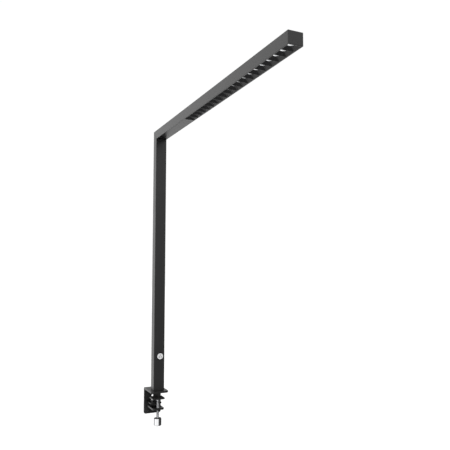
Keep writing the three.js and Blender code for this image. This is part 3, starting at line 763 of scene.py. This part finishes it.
def build_arm_cover():
    """Plate between the slot lips, with a wider foot behind them."""
    lo, hi = box("arm_bottom_cover")
    half = LIP_HALF - 0.06
    flange = hi.z - 1.5
    section = [
        (-half, lo.z, 0.25), (half, lo.z, 0.25), (half, flange, 0.1), (hi.y, flange, 0.2),
        (hi.y, hi.z, 0.2), (lo.y, hi.z, 0.2), (lo.y, flange, 0.2), (-half, flange, 0.1),
    ]
    rings = round_rings(lo.x, hi.x, 0.2, 3)
    cover = walled("arm_cover_plate", [(fillet(section, 4), rings)], "x")
    finish_piece(cover, "arm_bottom_cover", "satin_black")


def build_end_cap():
    """Rounded plate with a hollow plug that reaches into the arm."""
    lo, hi = box("end_cap")
    rings = [(0.2, ARM_END + 0.1), (0.0, ARM_END + 0.3)]
    rings += round_rings(ARM_END + 0.3, hi.x, 0, 4, r_end=0.9)[1:]
    cap = walled("end_cap_plate", [(rrect(lo.y, hi.y, lo.z, hi.z, EDGE_R, 7), rings)], "x")
    z0, z1 = LEDGE_TOP + 2.2, ARM_TOP - WALL - 0.3
    plug = walled("plug", [
        (rrect(-22.2, 22.2, z0, z1, 0.8, 4), round_rings(lo.x, ARM_END + 1.0, 0.4, 3, r_end=0)),
        (rrect(-19.5, 19.5, z0 + 2.4, z1 - 2.3, 0.6, 4),
         [(0.3, lo.x), (0.0, lo.x + 0.3), (0.0, ARM_END - 0.5), "blind"]),
    ], "x")
    boolean(cap, "UNION", plug)
    finish_piece(cap, "end_cap", "satin_black")


# --------------------------------------------------------------------------
# louvre modules: cups from a square mouth to a round throat
# --------------------------------------------------------------------------


def outline_radius(angle, half_x, half_y, corner):
    """Distance from the centre of a rounded rectangle to its outline."""
    dx, dy = abs(math.cos(angle)), abs(math.sin(angle))
    if dx > 1e-9:
        r = half_x / dx
        if r * dy <= half_y - corner + 1e-9:
            return r
    if dy > 1e-9:
        r = half_y / dy
        if r * dx <= half_x - corner + 1e-9:
            return r
    cx, cy = half_x - corner, half_y - corner
    b = dx * cx + dy * cy
    return b + math.sqrt(max(0.0, b * b - cx * cx - cy * cy + corner * corner))


def cup_angles(half_x, half_y):
    """Directions round a cup, closer together at its corners."""
    diagonal = math.degrees(math.atan2(half_y, half_x))
    quarter = [0, 8, 16, 24, 31, 36.5, 40.5, 43, diagonal - 1.2, diagonal, diagonal + 1.2,
               50.5, 54, 60, 67, 74, 82]
    turned_back = [0] + [90 - a for a in reversed(quarter[1:])]
    out = []
    for q in range(4):
        out += [math.radians(a + 90 * q) for a in (turned_back if q % 2 else quarter)]
    return out


def cup_rings(angles, half_x, half_y, mouth_z, top_z):
    """(radii, z) rings of one cup, from the rounded lip up to the throat's rim."""
    lip_r, corner_r = 0.45, 1.1
    throat_r, throat_z = 11.3, ARM_FOOT + 10
    # powers that shape how the size and the corners close in towards the throat
    size_power, corner_power = 0.72, 1.6
    steps = 9
    rings = []
    for k in range(4):
        t = k / 3 * PI / 2
        out, rise = lip_r * (1 - math.sin(t)), lip_r * (1 - math.cos(t))
        radii = [outline_radius(a, half_x + out, half_y + out, corner_r + out) for a in angles]
        rings.append((radii, mouth_z + rise))
    wall_z = mouth_z + lip_r
    for k in range(1, steps + 1):
        t = k / steps
        share = (1 - t) ** size_power
        x = throat_r + (half_x - throat_r) * share
        y = throat_r + (half_y - throat_r) * share
        corner = min(corner_r + (throat_r - corner_r) * (t ** corner_power), x, y)
        radii = [outline_radius(a, x, y, corner) for a in angles]
        rings.append((radii, wall_z + (throat_z - wall_z) * t))
    rings.append(([throat_r] * len(angles), top_z - 0.2))
    rings.append(([throat_r + 0.2] * len(angles), top_z))
    return rings


def build_louvre(node, name):
    lo, hi = box(node)
    pitch = (hi.x - lo.x + 0.2) / CELLS
    z0, z1 = lo.z, hi.z
    half_x, half_y = pitch / 2 - 0.8, 20.4
    angles = cup_angles(half_x, half_y)
    rings = cup_rings(angles, half_x, half_y, z0, z1)
    bm = bmesh.new()
    mouths, throats = [], []
    for i in range(CELLS):
        cx = lo.x - 0.1 + pitch * (i + 0.5)
        made = [[bm.verts.new((cx + r * math.cos(a), r * math.sin(a), z))
                 for r, a in zip(radii, angles)] for radii, z in rings]
        bridge_all(bm, made)
        mouths.append(made[0][::-1])
        throats.append(made[-1][::-1])
    # the body round the cups: (y, z) of a section that rests on the slot lips
    foot, rest, head = 21.3, hi.y, LEDGE_HALF - 0.3
    rest_z = LIP_T + ARM_FOOT + 0.2
    rest_top = rest_z + 1.5
    section = [
        (-foot, z0), (foot, z0), (foot, rest_z), (rest, rest_z), (rest, rest_top),
        (head, rest_top), (head, z1), (-head, z1), (-head, rest_top), (-rest, rest_top),
        (-rest, rest_z), (-foot, rest_z),
    ]
    a, b = [[bm.verts.new((x, y, z)) for y, z in section] for x in (lo.x, hi.x)]
    n = len(section)
    for k in range(n):
        if k not in (0, 6):             # the faces with the mouths and the throats
            bm.faces.new((a[k], a[(k + 1) % n], b[(k + 1) % n], b[k]))
    bm.faces.new(a)
    bm.faces.new(b)
    fill(bm, [[a[0], b[0], b[1], a[1]], *mouths], "z")
    fill(bm, [[a[7], b[7], b[6], a[6]], *throats], "z")
    finish_piece(solid(bm, name), node, "louvre_black", angle=24)


def build_lens_strip(node, name):
    """A carrier sheet with one stepped, domed lens under each light source."""
    lo, hi = box(node)
    pitch = (hi.x - lo.x + 4) / CELLS
    sheet, top = hi.z - 1.2, hi.z
    face = ARM_LO.z + 11.3
    # (radius, z) from the sheet down to the lens face and in to its centre
    profile = [
        (10.7, sheet), (10.7, face + 0.4), (10.6, face + 0.12), (10.3, face), (9.4, face),
        (9.25, face + 0.25), (7.4, face), (7.25, face + 0.25), (5.3, face),
        (5.15, face + 0.2), (3.4, face), (1.8, face - 0.06), (0, face - 0.08),
    ]
    bm = bmesh.new()
    holes = []
    for i in range(CELLS):
        rings = lathe(bm, profile, 48, (lo.x - 2 + pitch * (i + 0.5), 0, 0))
        holes.append(rings[0][::-1])
    outline = rrect(lo.x, hi.x, lo.y, hi.y, 2.0, 5)
    edges = ((0.15, sheet), (0.0, sheet + 0.15), (0.0, top - 0.15), (0.15, top))
    made = [[bm.verts.new((x, y, z)) for x, y in offset_loop(outline, offset)]
            for offset, z in edges]
    bridge_all(bm, made, material=1)
    bm.faces.new(made[-1]).material_index = 1
    fill(bm, [made[0], *holes], "z", material=1)
    finish_piece(solid(bm, name), node, "lens_opal", looks=["lens_opal", "carrier"], angle=40)


# --------------------------------------------------------------------------
# push button and bezel on the column's +x face
# --------------------------------------------------------------------------


def build_button():
    """Round cap on a plunger, with three dimples in its face."""
    face, back = BUTTON_HI.x, BUTTON_LO.x
    plunger_r, edge_r = 4.0, 0.8
    skirt = face - 2.8
    profile = [
        (0, back), (plunger_r - 0.4, back), (plunger_r, back + 0.4), (plunger_r, skirt),
        (BUTTON_R, skirt), (BUTTON_R, face - edge_r),
    ]
    for k in range(1, 7):
        t = k / 6 * PI / 2
        profile.append((BUTTON_R - edge_r * (1 - math.cos(t)), face - edge_r * (1 - math.sin(t))))
    bm = bmesh.new()
    loops = [lathe(bm, profile, 72, (0, BUTTON_Y, BUTTON_Z), "x")[-1]]
    # (radius, share of the depth) of a soft-rimmed dimple
    steps = [(2.75, 0.0), (2.50, 0.06), (2.28, 0.22), (2.05, 0.50), (1.55, 0.74), (0.85, 0.88)]
    dimple = [(r, -share * 1.25) for r, share in steps] + [(0, -1.16)]
    for k in range(3):
        t = PI / 2 + k * 2 * PI / 3
        centre = (face, BUTTON_Y + 5.6 * math.cos(t), BUTTON_Z + 5.6 * math.sin(t))
        # dimple faces take the darker copy of the button metal: painted shade in the recesses
        loops.append(lathe(bm, dimple, 28, centre, "x", material=1)[0][::-1])
    fill(bm, loops, "x")
    finish_piece(solid(bm, "push_button_face"), "button_cap", "chrome", body="push_button",
                 looks=["button", "dimple"])


def build_bezel():
    """Bezel ring round the button, and the barrel inside the column."""
    lo, hi = box("switch_housing")
    outer_r = (hi.y - lo.y) / 2
    well_r = BUTTON_R + 0.45
    wall = HALF_X
    profile = [
        (0, lo.x), (BARREL_R - 0.4, lo.x), (BARREL_R, lo.x + 0.4), (BARREL_R, wall + 0.15),
        (outer_r - 0.15, wall + 0.15), (outer_r, wall + 0.3), (outer_r, hi.x - 0.9),
        (outer_r - 0.8, hi.x), (well_r + 0.3, hi.x), (well_r, hi.x - 0.3),
        (well_r, wall + 1.0), (4.4, wall + 1.0), (4.4, wall - 6), (7.6, wall - 6),
        (7.6, wall - 17.5), (0, wall - 17.5),
    ]
    bezel = turned("button_bezel", soften(profile, 0.25), 72, (0, BUTTON_Y, BUTTON_Z), "x")
    finish_piece(bezel, "switch_housing", "dark_plastic")


def build_inlet():
    """Power inlet in the column's rear (-x) face: flange, cavity and three flat pins."""
    lo, hi = box("power_inlet")
    wall = -HALF_X - 0.1
    outline = rrect(-hi.y, hi.y, lo.z, hi.z, 3.6, 6)
    rings = round_rings(lo.x, wall, 0.5, 3, r_end=0.1)
    rings += [(3.0, wall), (3.0, hi.x - 0.3), (3.3, hi.x)]
    cavity = rrect(-9.5, 9.5, INLET_Z - 5.5, INLET_Z + 5.5, 2.6, 6)
    cavity_rings = [(0.4, lo.x), (0.1, lo.x + 0.12), (0.0, lo.x + 0.4),
                    (0.0, -HALF_X + 10), "blind"]
    inlet = walled("inlet_socket", [(outline, rings), (cavity, cavity_rings)], "x")
    pins = [plate("pin", rrect(y - 0.9, y + 0.9, INLET_Z - 1.5, INLET_Z + 1.5, 0.4, 3),
                  -HALF_X + 2, -HALF_X + 11, "x", r=0.3, n=2) for y in (-5, 0, 5)]
    boolean(inlet, "UNION", *pins)
    finish_piece(inlet, "power_inlet", "dark_plastic")


# --------------------------------------------------------------------------
# clamp bracket and lower jaw
# --------------------------------------------------------------------------


def build_bracket():
    """One thick bent plate, built flat and wrapped round the corner."""
    lo, hi = box("clamp_bracket")
    rear, front, top = lo.x, hi.x, hi.z
    # where the inner bend meets the flat plates
    inner_x, inner_z = rear + PLATE_T + INNER_BEND_R, top - PLATE_T - INNER_BEND_R
    flat_before = inner_x - rear - BEND_R           # outer face, before the outer bend
    bend_end = flat_before + BEND_R * PI / 2
    corner_len = bend_end + (top - BEND_R - inner_z)
    corner_start = front - inner_x
    corner_end = corner_start + corner_len

    def wrapped(s, depth):
        """(x, z) of a point s from the front edge, over the corner and down."""
        if s <= corner_start:
            return front - s, top - depth
        if s >= corner_end:
            return rear + depth, inner_z - (s - corner_end)
        d = s - corner_start
        if d <= flat_before:
            outer = (inner_x - d, top)
        elif d <= bend_end:
            t = (d - flat_before) / BEND_R
            outer = (rear + BEND_R - BEND_R * math.sin(t), top - BEND_R + BEND_R * math.cos(t))
        else:
            outer = (rear, top - BEND_R - (d - bend_end))
        t = d / corner_len * PI / 2
        inner = (inner_x - INNER_BEND_R * math.sin(t), inner_z + INNER_BEND_R * math.cos(t))
        share = depth / PLATE_T
        return [o + (i - o) * share for o, i in zip(outer, inner)]

    def down(z):
        """Place along the flat plate of a height on the upright part."""
        return corner_end + inner_z - z

    total = down(lo.z)
    outline = [(0, -hi.y, 12), (total, -hi.y, 8), (total, hi.y, 8), (0, hi.y, 12)]
    loops = [(fillet(outline, 14), round_rings(0, PLATE_T, 0.7, 4))]
    for z in (-31.0, -51.0):
        loops.append((circle(down(z), 0, 4.9, 44), round_rings(0, PLATE_T, 0.5, 3)))
    for y in (-JAW_BOLT_Y, JAW_BOLT_Y):
        hole = circle(down(JAW_BOLT_Z), y, BOLT_HOLE_R, 32)
        loops.append((hole, round_rings(0, PLATE_T, 0.3, 2)))
    # countersunk from below
    countersink = [(0.0, 0.0), (0.0, PLATE_T - 3.2), (-2.9, PLATE_T - 0.3), (-2.9, PLATE_T)]
    for x in (-10, 10):
        for y in (-14, 14):
            loops.append((circle(front - x, y, 3.3, 32), countersink))
    bm = bmesh.new()
    shell(bm, loops, "z")
    for k in range(15):
        s = corner_start + corner_len * k / 14
        bmesh.ops.bisect_plane(bm, geom=bm.verts[:] + bm.edges[:] + bm.faces[:], dist=1e-5,
                               plane_co=(s, 0, 0), plane_no=(1, 0, 0))
    for v in bm.verts:
        s, y, depth = v.co
        x, z = wrapped(s, depth)
        v.co = (x, y, z)
    finish_piece(solid(bm, "clamp_bracket_plate"), "clamp_bracket", "black_steel")


def build_jaw():
    """Floor, upper lip and upright web, joined into a channel."""
    rear, half, z0, z1 = JAW_LO.x, JAW_HI.y, JAW_LO.z, JAW_HI.z

    def tongue(front, r, n):
        return fillet([(rear, -half, 0.6), (front, -half, r), (front, half, r),
                       (rear, half, 0.6)], n)

    screw_hole = (circle(SCREW_X, 0, 8.3, 56), round_rings(z0, z0 + PLATE_T, 0.3, 2))
    jaw = plate("lower_jaw_body", tongue(JAW_HI.x, 9, 12), z0, z0 + PLATE_T, "z", r=0.7,
                holes=[screw_hole])
    lip = plate("lip", tongue(JAW_LIP_FRONT, 6, 10), z1 - JAW_LIP_T, z1, "z", r=0.6)
    web_front = rear + JAW_WEB_T
    bolt_holes = [(circle(y, JAW_BOLT_Z, BOLT_HOLE_R, 32), round_rings(rear, web_front, 0.2, 2))
                  for y in (-JAW_BOLT_Y, JAW_BOLT_Y)]
    web = plate("web", rrect(-half, half, z0, z1, 0.7, 4), rear, web_front, "x", r=0.6,
                holes=bolt_holes)
    boolean(jaw, "UNION", lip, web)
    finish_piece(jaw, "lower_jaw", "black_steel")


def build_thread_insert():
    """Flanged bush with grooves inside for the thread."""
    lo, hi = box("thread_insert")
    profile = [
        (6.35, lo.z), (10.6, lo.z), (11.0, lo.z + 0.4), (11.0, lo.z + 2.0),
        (8.0, lo.z + 2.0), (8.0, hi.z), (6.75, hi.z),
    ]
    z = hi.z - 0.4
    while z > lo.z + 1.2:
        profile += [(6.30, z), (6.75, z - 0.85)]
        z -= THREAD_PITCH
    profile.append(profile[0])
    bush = turned("thread_insert_bush", profile, 48, (SCREW_X, 0, 0))
    finish_piece(bush, "thread_insert", "black_steel", looks=["blackened"])


def build_jaw_bolt(tag, y):
    """Socket-head screw with a grooved shank, and its hexagon nut."""
    lo, hi = box(f"jaw_bolt_{tag}")
    head = hi.x - 6.0
    profile = [(0, lo.x), (2.4, lo.x), (BOLT_R, lo.x + 0.6)]
    x = lo.x + 0.9
    while x < JAW_LO.x - 1:
        profile += [(2.62, x + 0.25), (BOLT_R, x + 0.75)]
        x += 1.0
    profile += [(BOLT_R, head), (4.9, head), (5.0, head + 0.15), (5.0, hi.x - 0.6),
                (4.4, hi.x), (0, hi.x)]
    bolt = turned(f"jaw_screw_{tag}", profile, 40, (0, y, JAW_BOLT_Z), "x")
    socket = plate("hex", hexagon(2.9, y, JAW_BOLT_Z), hi.x - 3.1, hi.x + 2, "x", r=0)
    boolean(bolt, "DIFFERENCE", socket)
    finish_piece(bolt, f"jaw_bolt_{tag}", "zinc", looks=["blackened"])

    lo, hi = box(f"jaw_nut_{tag}")
    outline = fillet([(u, v, 0.25) for u, v in hexagon(5.77, y, JAW_BOLT_Z)], 4)
    bore = (circle(y, JAW_BOLT_Z, 3.3, 32), round_rings(lo.x, hi.x, 0.3, 2))
    nut = plate(f"jaw_hex_nut_{tag}", outline, lo.x, hi.x, "x", r=0.35, n=3, holes=[bore])
    finish_piece(nut, f"jaw_nut_{tag}", "zinc")


# --------------------------------------------------------------------------
# pads, pressure plate, screw, knob
# --------------------------------------------------------------------------


def build_flat(node, name, slot, body, corner, corner_steps, r, n, holes=()):
    """A rounded rectangular plate that fills its CAD box."""
    lo, hi = box(node)
    outline = rrect(lo.x, hi.x, lo.y, hi.y, corner, corner_steps)
    ob = plate(name, outline, lo.z, hi.z, "z", r=r, n=n, holes=holes)
    finish_piece(ob, node, slot, body=body)


def build_pads():
    build_flat("top_pad", "desk_pad_top", "padding", "root",
               corner=6, corner_steps=8, r=0.25, n=3)
    foot = box("pressure_plate")[0].z
    seat = (circle(SCREW_X, 0, 4.9, 40),
            [(0.3, foot), (0.0, foot + 0.3), (0.0, foot + 4.5), "blind"])
    build_flat("pressure_plate", "pressure_plate_body", "black_steel", "pressure_foot",
               corner=5, corner_steps=9, r=0.9, n=5, holes=[seat])
    build_flat("pressure_pad", "pressure_pad_rubber", "padding", "pressure_foot",
               corner=3.5, corner_steps=8, r=0.3, n=3)


def build_collar():
    """Ring with a shallow groove round its side."""
    lo, hi = box("swivel_collar")
    z = lo.z
    profile = [
        (6.4, z + 0.2), (6.6, z), (9.9, z), (10.6, z + 0.7), (10.6, z + 1.5), (10.2, z + 1.8),
        (10.2, z + 2.2), (10.6, z + 2.5), (10.6, hi.z - 0.2), (10.4, hi.z), (6.4, hi.z),
        (6.4, z + 0.2),
    ]
    ring = turned("swivel_ring", profile, 56, (SCREW_X, 0, 0))
    finish_piece(ring, "swivel_collar", "zinc", body="pressure_foot")


def tooth(turn):
    """Trapezoid thread profile, 0 at the root and 1 at the crest."""
    return max(0.0, min(1.0, (abs(turn % 1.0 - 0.5) * 2 - 0.18) / 0.64))


def build_clamp_screw():
    """Threaded rod: the thread is a height field on a fine cylinder grid."""
    lo, hi = box("clamp_screw")
    plate_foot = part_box("pressure_plate")[0].z * 1000
    neck = plate_foot - 0.8
    thread_a, thread_b = KNOB_HI.z + 2.0, plate_foot - 6.0
    around = 40
    # (z, radius, threaded)
    levels = [(lo.z, 5.4, False), (lo.z + 0.6, CREST_R, False), (thread_a - 0.2, CREST_R, False)]
    z = thread_a
    while z < thread_b:
        levels.append((z, CREST_R, True))
        z += THREAD_PITCH / 7
    levels += [
        (thread_b + 0.2, CREST_R, False), (neck, CREST_R, False), (neck + 0.5, 5.5, False),
        (neck + 0.5001, 4.5, False), (hi.z - 0.5, 4.5, False), (hi.z, 4.0, False),
    ]
    run_out = THREAD_PITCH * 0.8        # the thread fades in and out over this length
    bm = bmesh.new()
    rings = []
    for z, radius, threaded in levels:
        ring = []
        for k in range(around):
            angle = 2 * PI * k / around
            r = radius
            if threaded:
                fade = max(0.0, min(1.0, (z - thread_a) / run_out, (thread_b - z) / run_out))
                groove = 1 - tooth(z / THREAD_PITCH - k / around)
                r = CREST_R - (CREST_R - ROOT_R) * fade * groove
            ring.append(bm.verts.new((SCREW_X + r * math.cos(angle), r * math.sin(angle), z)))
        rings.append(ring)
    bridge_all(bm, rings)
    bm.faces.new(rings[0])
    bm.faces.new(rings[-1])
    finish_piece(solid(bm, "clamp_screw_threaded"), "clamp_screw", "bright_steel",
                 body="spindle", angle=50)


def build_knob():
    """Turned knob with a recessed top and a cross hole for the grub screw."""
    r = (KNOB_HI.x - KNOB_LO.x) / 2
    foot, top = KNOB_LO.z, KNOB_HI.z
    chamfer = 0.45
    profile = [
        (0, foot + 0.6), (8.5, foot + 0.6), (9.3, foot), (r - 2.0, foot), (r, foot + 2.0),
        (r, top - chamfer), (r - chamfer, top), (r - 2.2, top), (r - 2.2, top - 1.5),
        (6.35, top - 1.5), (6.35, foot + 7), (0, foot + 7),
    ]
    knob = turned("knob_turned", soften(profile, 0.25), 96, (SCREW_X, 0, 0))
    hole = [(0, -3), (2.7, -3), (2.7, 14), (0, 14)]
    boolean(knob, "DIFFERENCE", turned("cut", hole, 32, (KNOB_LO.x, 0, GRUB_Z), "x"))
    for face in knob.data.polygons:
        c = face.center * 1000
        in_recess = math.hypot(c.x - SCREW_X, c.y) < r - 2.1 and c.z > top - 2.5
        face.material_index = 1 if in_recess or c.z > top - 0.44 else 0
    finish_piece(knob, "clamp_knob", "chrome", body="spindle", looks=["chrome", "knob_top"])


def build_grub_screw():
    lo, hi = box("knob_set_screw")
    profile = [(0, lo.x), (2.1, lo.x), (2.4, lo.x + 0.3), (2.4, hi.x - 0.4), (2.0, hi.x),
               (0, hi.x)]
    grub = turned("knob_grub_screw", profile, 28, (0, 0, GRUB_Z), "x")
    socket = plate("hex", hexagon(1.35, 0, GRUB_Z), lo.x - 1, lo.x + 2.4, "x", r=0)
    boolean(grub, "DIFFERENCE", socket)
    finish_piece(grub, "knob_set_screw", "dark_plastic", body="spindle", looks=["blackened"])


def build_plug_screw(tag, y):
    """Countersunk socket screw at the foot of the column, rear side."""
    lo, hi = box(f"plug_screw_{tag}")
    profile = [(0, lo.x), (4.75, lo.x), (4.9, lo.x + 0.12), (4.9, lo.x + 0.3),
               (2.4, lo.x + 2.8), (2.4, hi.x - 0.3), (2.1, hi.x), (0, hi.x)]
    screw = turned(f"plug_socket_screw_{tag}", profile, 40, (0, y, PLUG_SCREW_Z), "x")
    socket = plate("hex", hexagon(1.75, y, PLUG_SCREW_Z, turn=PI / 6), lo.x - 1, lo.x + 2.0,
                   "x", r=0)
    boolean(screw, "DIFFERENCE", socket)
    finish_piece(screw, f"plug_screw_{tag}", "zinc", looks=["blackened"])


build_column()
build_arm()
build_arm_cover()
build_end_cap()
build_louvre("louvre_module_inner", "louvre_cups_inner")
build_louvre("louvre_module_outer", "louvre_cups_outer")
build_lens_strip("lens_strip_inner", "lenses_inner")
build_lens_strip("lens_strip_outer", "lenses_outer")
build_button()
build_bezel()
build_inlet()
build_bracket()
build_jaw()
build_thread_insert()
build_jaw_bolt("left", -JAW_BOLT_Y)
build_jaw_bolt("right", JAW_BOLT_Y)
build_pads()
build_collar()
build_clamp_screw()
build_knob()
build_grub_screw()
build_plug_screw("left", -PLUG_SCREW_Y)
build_plug_screw("right", PLUG_SCREW_Y)

# --------------------------------------------------------------------------
# carried-over CAD nodes: their materials, and bevelled edges by modifier
# --------------------------------------------------------------------------

# node -> bevel width in metres
BEVELS = {
    "led_driver": 0.0009, "gear_tray": 0.0002, "led_board_inner": 0.00015,
    "led_board_outer": 0.00015, "board_link_connector": 0.0003, "microswitch": 0.0003,
    "foot_plug": 0.0004, "corner_bracket": 0.0004, "switch_nut": 0.0004,
}


def dress_cad_nodes():
    slot_of = {s["node"]: s["material_slot"] for s in frame["record"]["subparts"]}
    replaced = {n for o in SCENE.objects for n in list(o.get("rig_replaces", []))}
    for node, ob in frame["nodes"].items():
        if node in replaced:
            continue
        ob.data.materials.clear()
        ob.data.materials.append(MATERIALS[slot_of[node]])
        if node in BEVELS:
            bevel = ob.modifiers.new("edges", "BEVEL")
            bevel.width = BEVELS[node]
            bevel.segments = 2
            bevel.limit_method = "ANGLE"
            bevel.angle_limit = math.radians(50)
            bevel.harden_normals = False


dress_cad_nodes()

# --------------------------------------------------------------------------
# stage, light, camera (metres)
# --------------------------------------------------------------------------

FLOOR_Z = -0.72                         # the room's floor, under a desk top at z = 0
FLOOR_HALF = 40.0


def stage_pale():
    """Pale floor that mirror rays pass through."""
    m = Mat("stage_pale")
    m.set(Base_Color=m.ramp(m.noise(scale=3.0), low=(0.86, 0.86, 0.86), high=(0.88, 0.88, 0.88)),
          Roughness=0.95, Emission_Color=(1, 1, 1, 1), Emission_Strength=0.12)
    glossy = m.node("LightPath").outputs["Is Glossy Ray"]
    clear = m.node("BsdfTransparent").outputs[0]
    picked = m.node("MixShader", {0: glossy, 1: m.shader.outputs[0], 2: clear})
    m.feed(m.output.inputs["Surface"], picked.outputs[0])
    return m.mat


def build_floor():
    mesh = bpy.data.meshes.new("stage_floor")
    signs = [(-1, -1), (1, -1), (1, 1), (-1, 1)]
    corners = [(x * FLOOR_HALF, y * FLOOR_HALF, FLOOR_Z) for x, y in signs]
    mesh.from_pydata(corners, [], [(0, 1, 2, 3)])
    floor = bpy.data.objects.new("stage_floor", mesh)
    SCENE.collection.objects.link(floor)
    mesh.materials.append(stage_pale())


def build_world():
    """White to the camera; what lights the lamp is a studio with darker and lighter zones."""
    world = bpy.data.worlds.new("studio")
    SCENE.world = world
    world.use_nodes = True
    w = Nodes(world.node_tree)
    white = (1, 1, 1, 1)
    seen = w.node("Background", {"Color": white, "Strength": 1.02})
    ray = w.node("TexCoord").outputs["Generated"]

    # turn: the ray's angle from straight behind the camera, positive to its right
    behind_camera, right_of_camera = (0.9051, -0.4252, 0.0), (0.4252, 0.9051, 0.0)
    turn = w.math("ARCTAN2", w.dot(ray, right_of_camera), w.dot(ray, behind_camera))
    height = w.dot(ray, (0.0, 0.0, 1.0))

    def turn_step(value, start, end):
        return w.step(value, math.radians(start), math.radians(end))

    # dark panel on the camera's right, its near edge leaning with height
    lean = w.times(w.step(height, 0.22, -0.16), math.radians(18))
    near_edge = turn_step(w.plus(turn, lean), 52, 57)
    far_edge = turn_step(turn, 178, 152)
    panel = w.times(w.times(near_edge, far_edge), w.step(height, 0.42, 0.12))
    # bright bank on the left
    left_bank = w.times(turn_step(turn, -60, -100), w.step(height, 0.42, 0.10))
    # dark zones beyond the lamp, above and below the horizon
    above = w.times(w.step(height, 0.55, 0.25), w.step(height, -0.10, 0.05))
    beyond_high = w.times(turn_step(turn, -146, -172), above)
    beyond_low = w.times(turn_step(turn, -140, -170), w.step(height, -0.06, -0.14))
    # bright band all round, and a round soft box low on the left
    band = w.times(w.step(height, 0.25, 0.42), w.step(height, 0.75, 0.55))
    softbox_aim = Vector((-0.1765, -0.9843, -0.25)).normalized()
    softbox = w.step(w.dot(ray, softbox_aim),
                     math.cos(math.radians(22)), math.cos(math.radians(14)))

    base_level, panel_level = 1.10, 0.07
    level = w.minus(base_level, w.times(panel, base_level - panel_level))
    level = w.plus(level, w.times(left_bank, 0.30))
    level = w.minus(level, w.times(beyond_high, 0.90))
    level = w.minus(level, w.times(beyond_low, 0.38))
    level = w.plus(level, w.times(band, 0.22))
    level = w.plus(level, w.times(softbox, 0.15))

    lit = w.node("Background", {"Color": white, "Strength": level})
    to_camera = w.node("LightPath").outputs["Is Camera Ray"]
    picked = w.node("MixShader", {0: to_camera, 1: lit.outputs[0], 2: seen.outputs[0]})
    w.node("OutputWorld", {"Surface": picked.outputs[0]})


def build_camera():
    data = bpy.data.cameras.new("camera")
    data.lens = 42.71
    data.sensor_width = 36.0
    data.clip_start, data.clip_end = 0.01, 200.0
    camera = bpy.data.objects.new("camera", data)
    SCENE.collection.objects.link(camera)
    camera.location = (2.3885, -0.7815, 0.5475)
    camera.rotation_mode = "QUATERNION"
    aim = Vector((-0.9017, 0.4237, 0.0865))
    camera.rotation_quaternion = aim.to_track_quat("-Z", "Y")
    SCENE.camera = camera


build_floor()
build_world()
build_camera()

SCENE.view_settings.view_transform = "Standard"
SCENE.view_settings.look = "None"
SCENE.view_settings.exposure = 0.0
SCENE.view_settings.gamma = 1.0
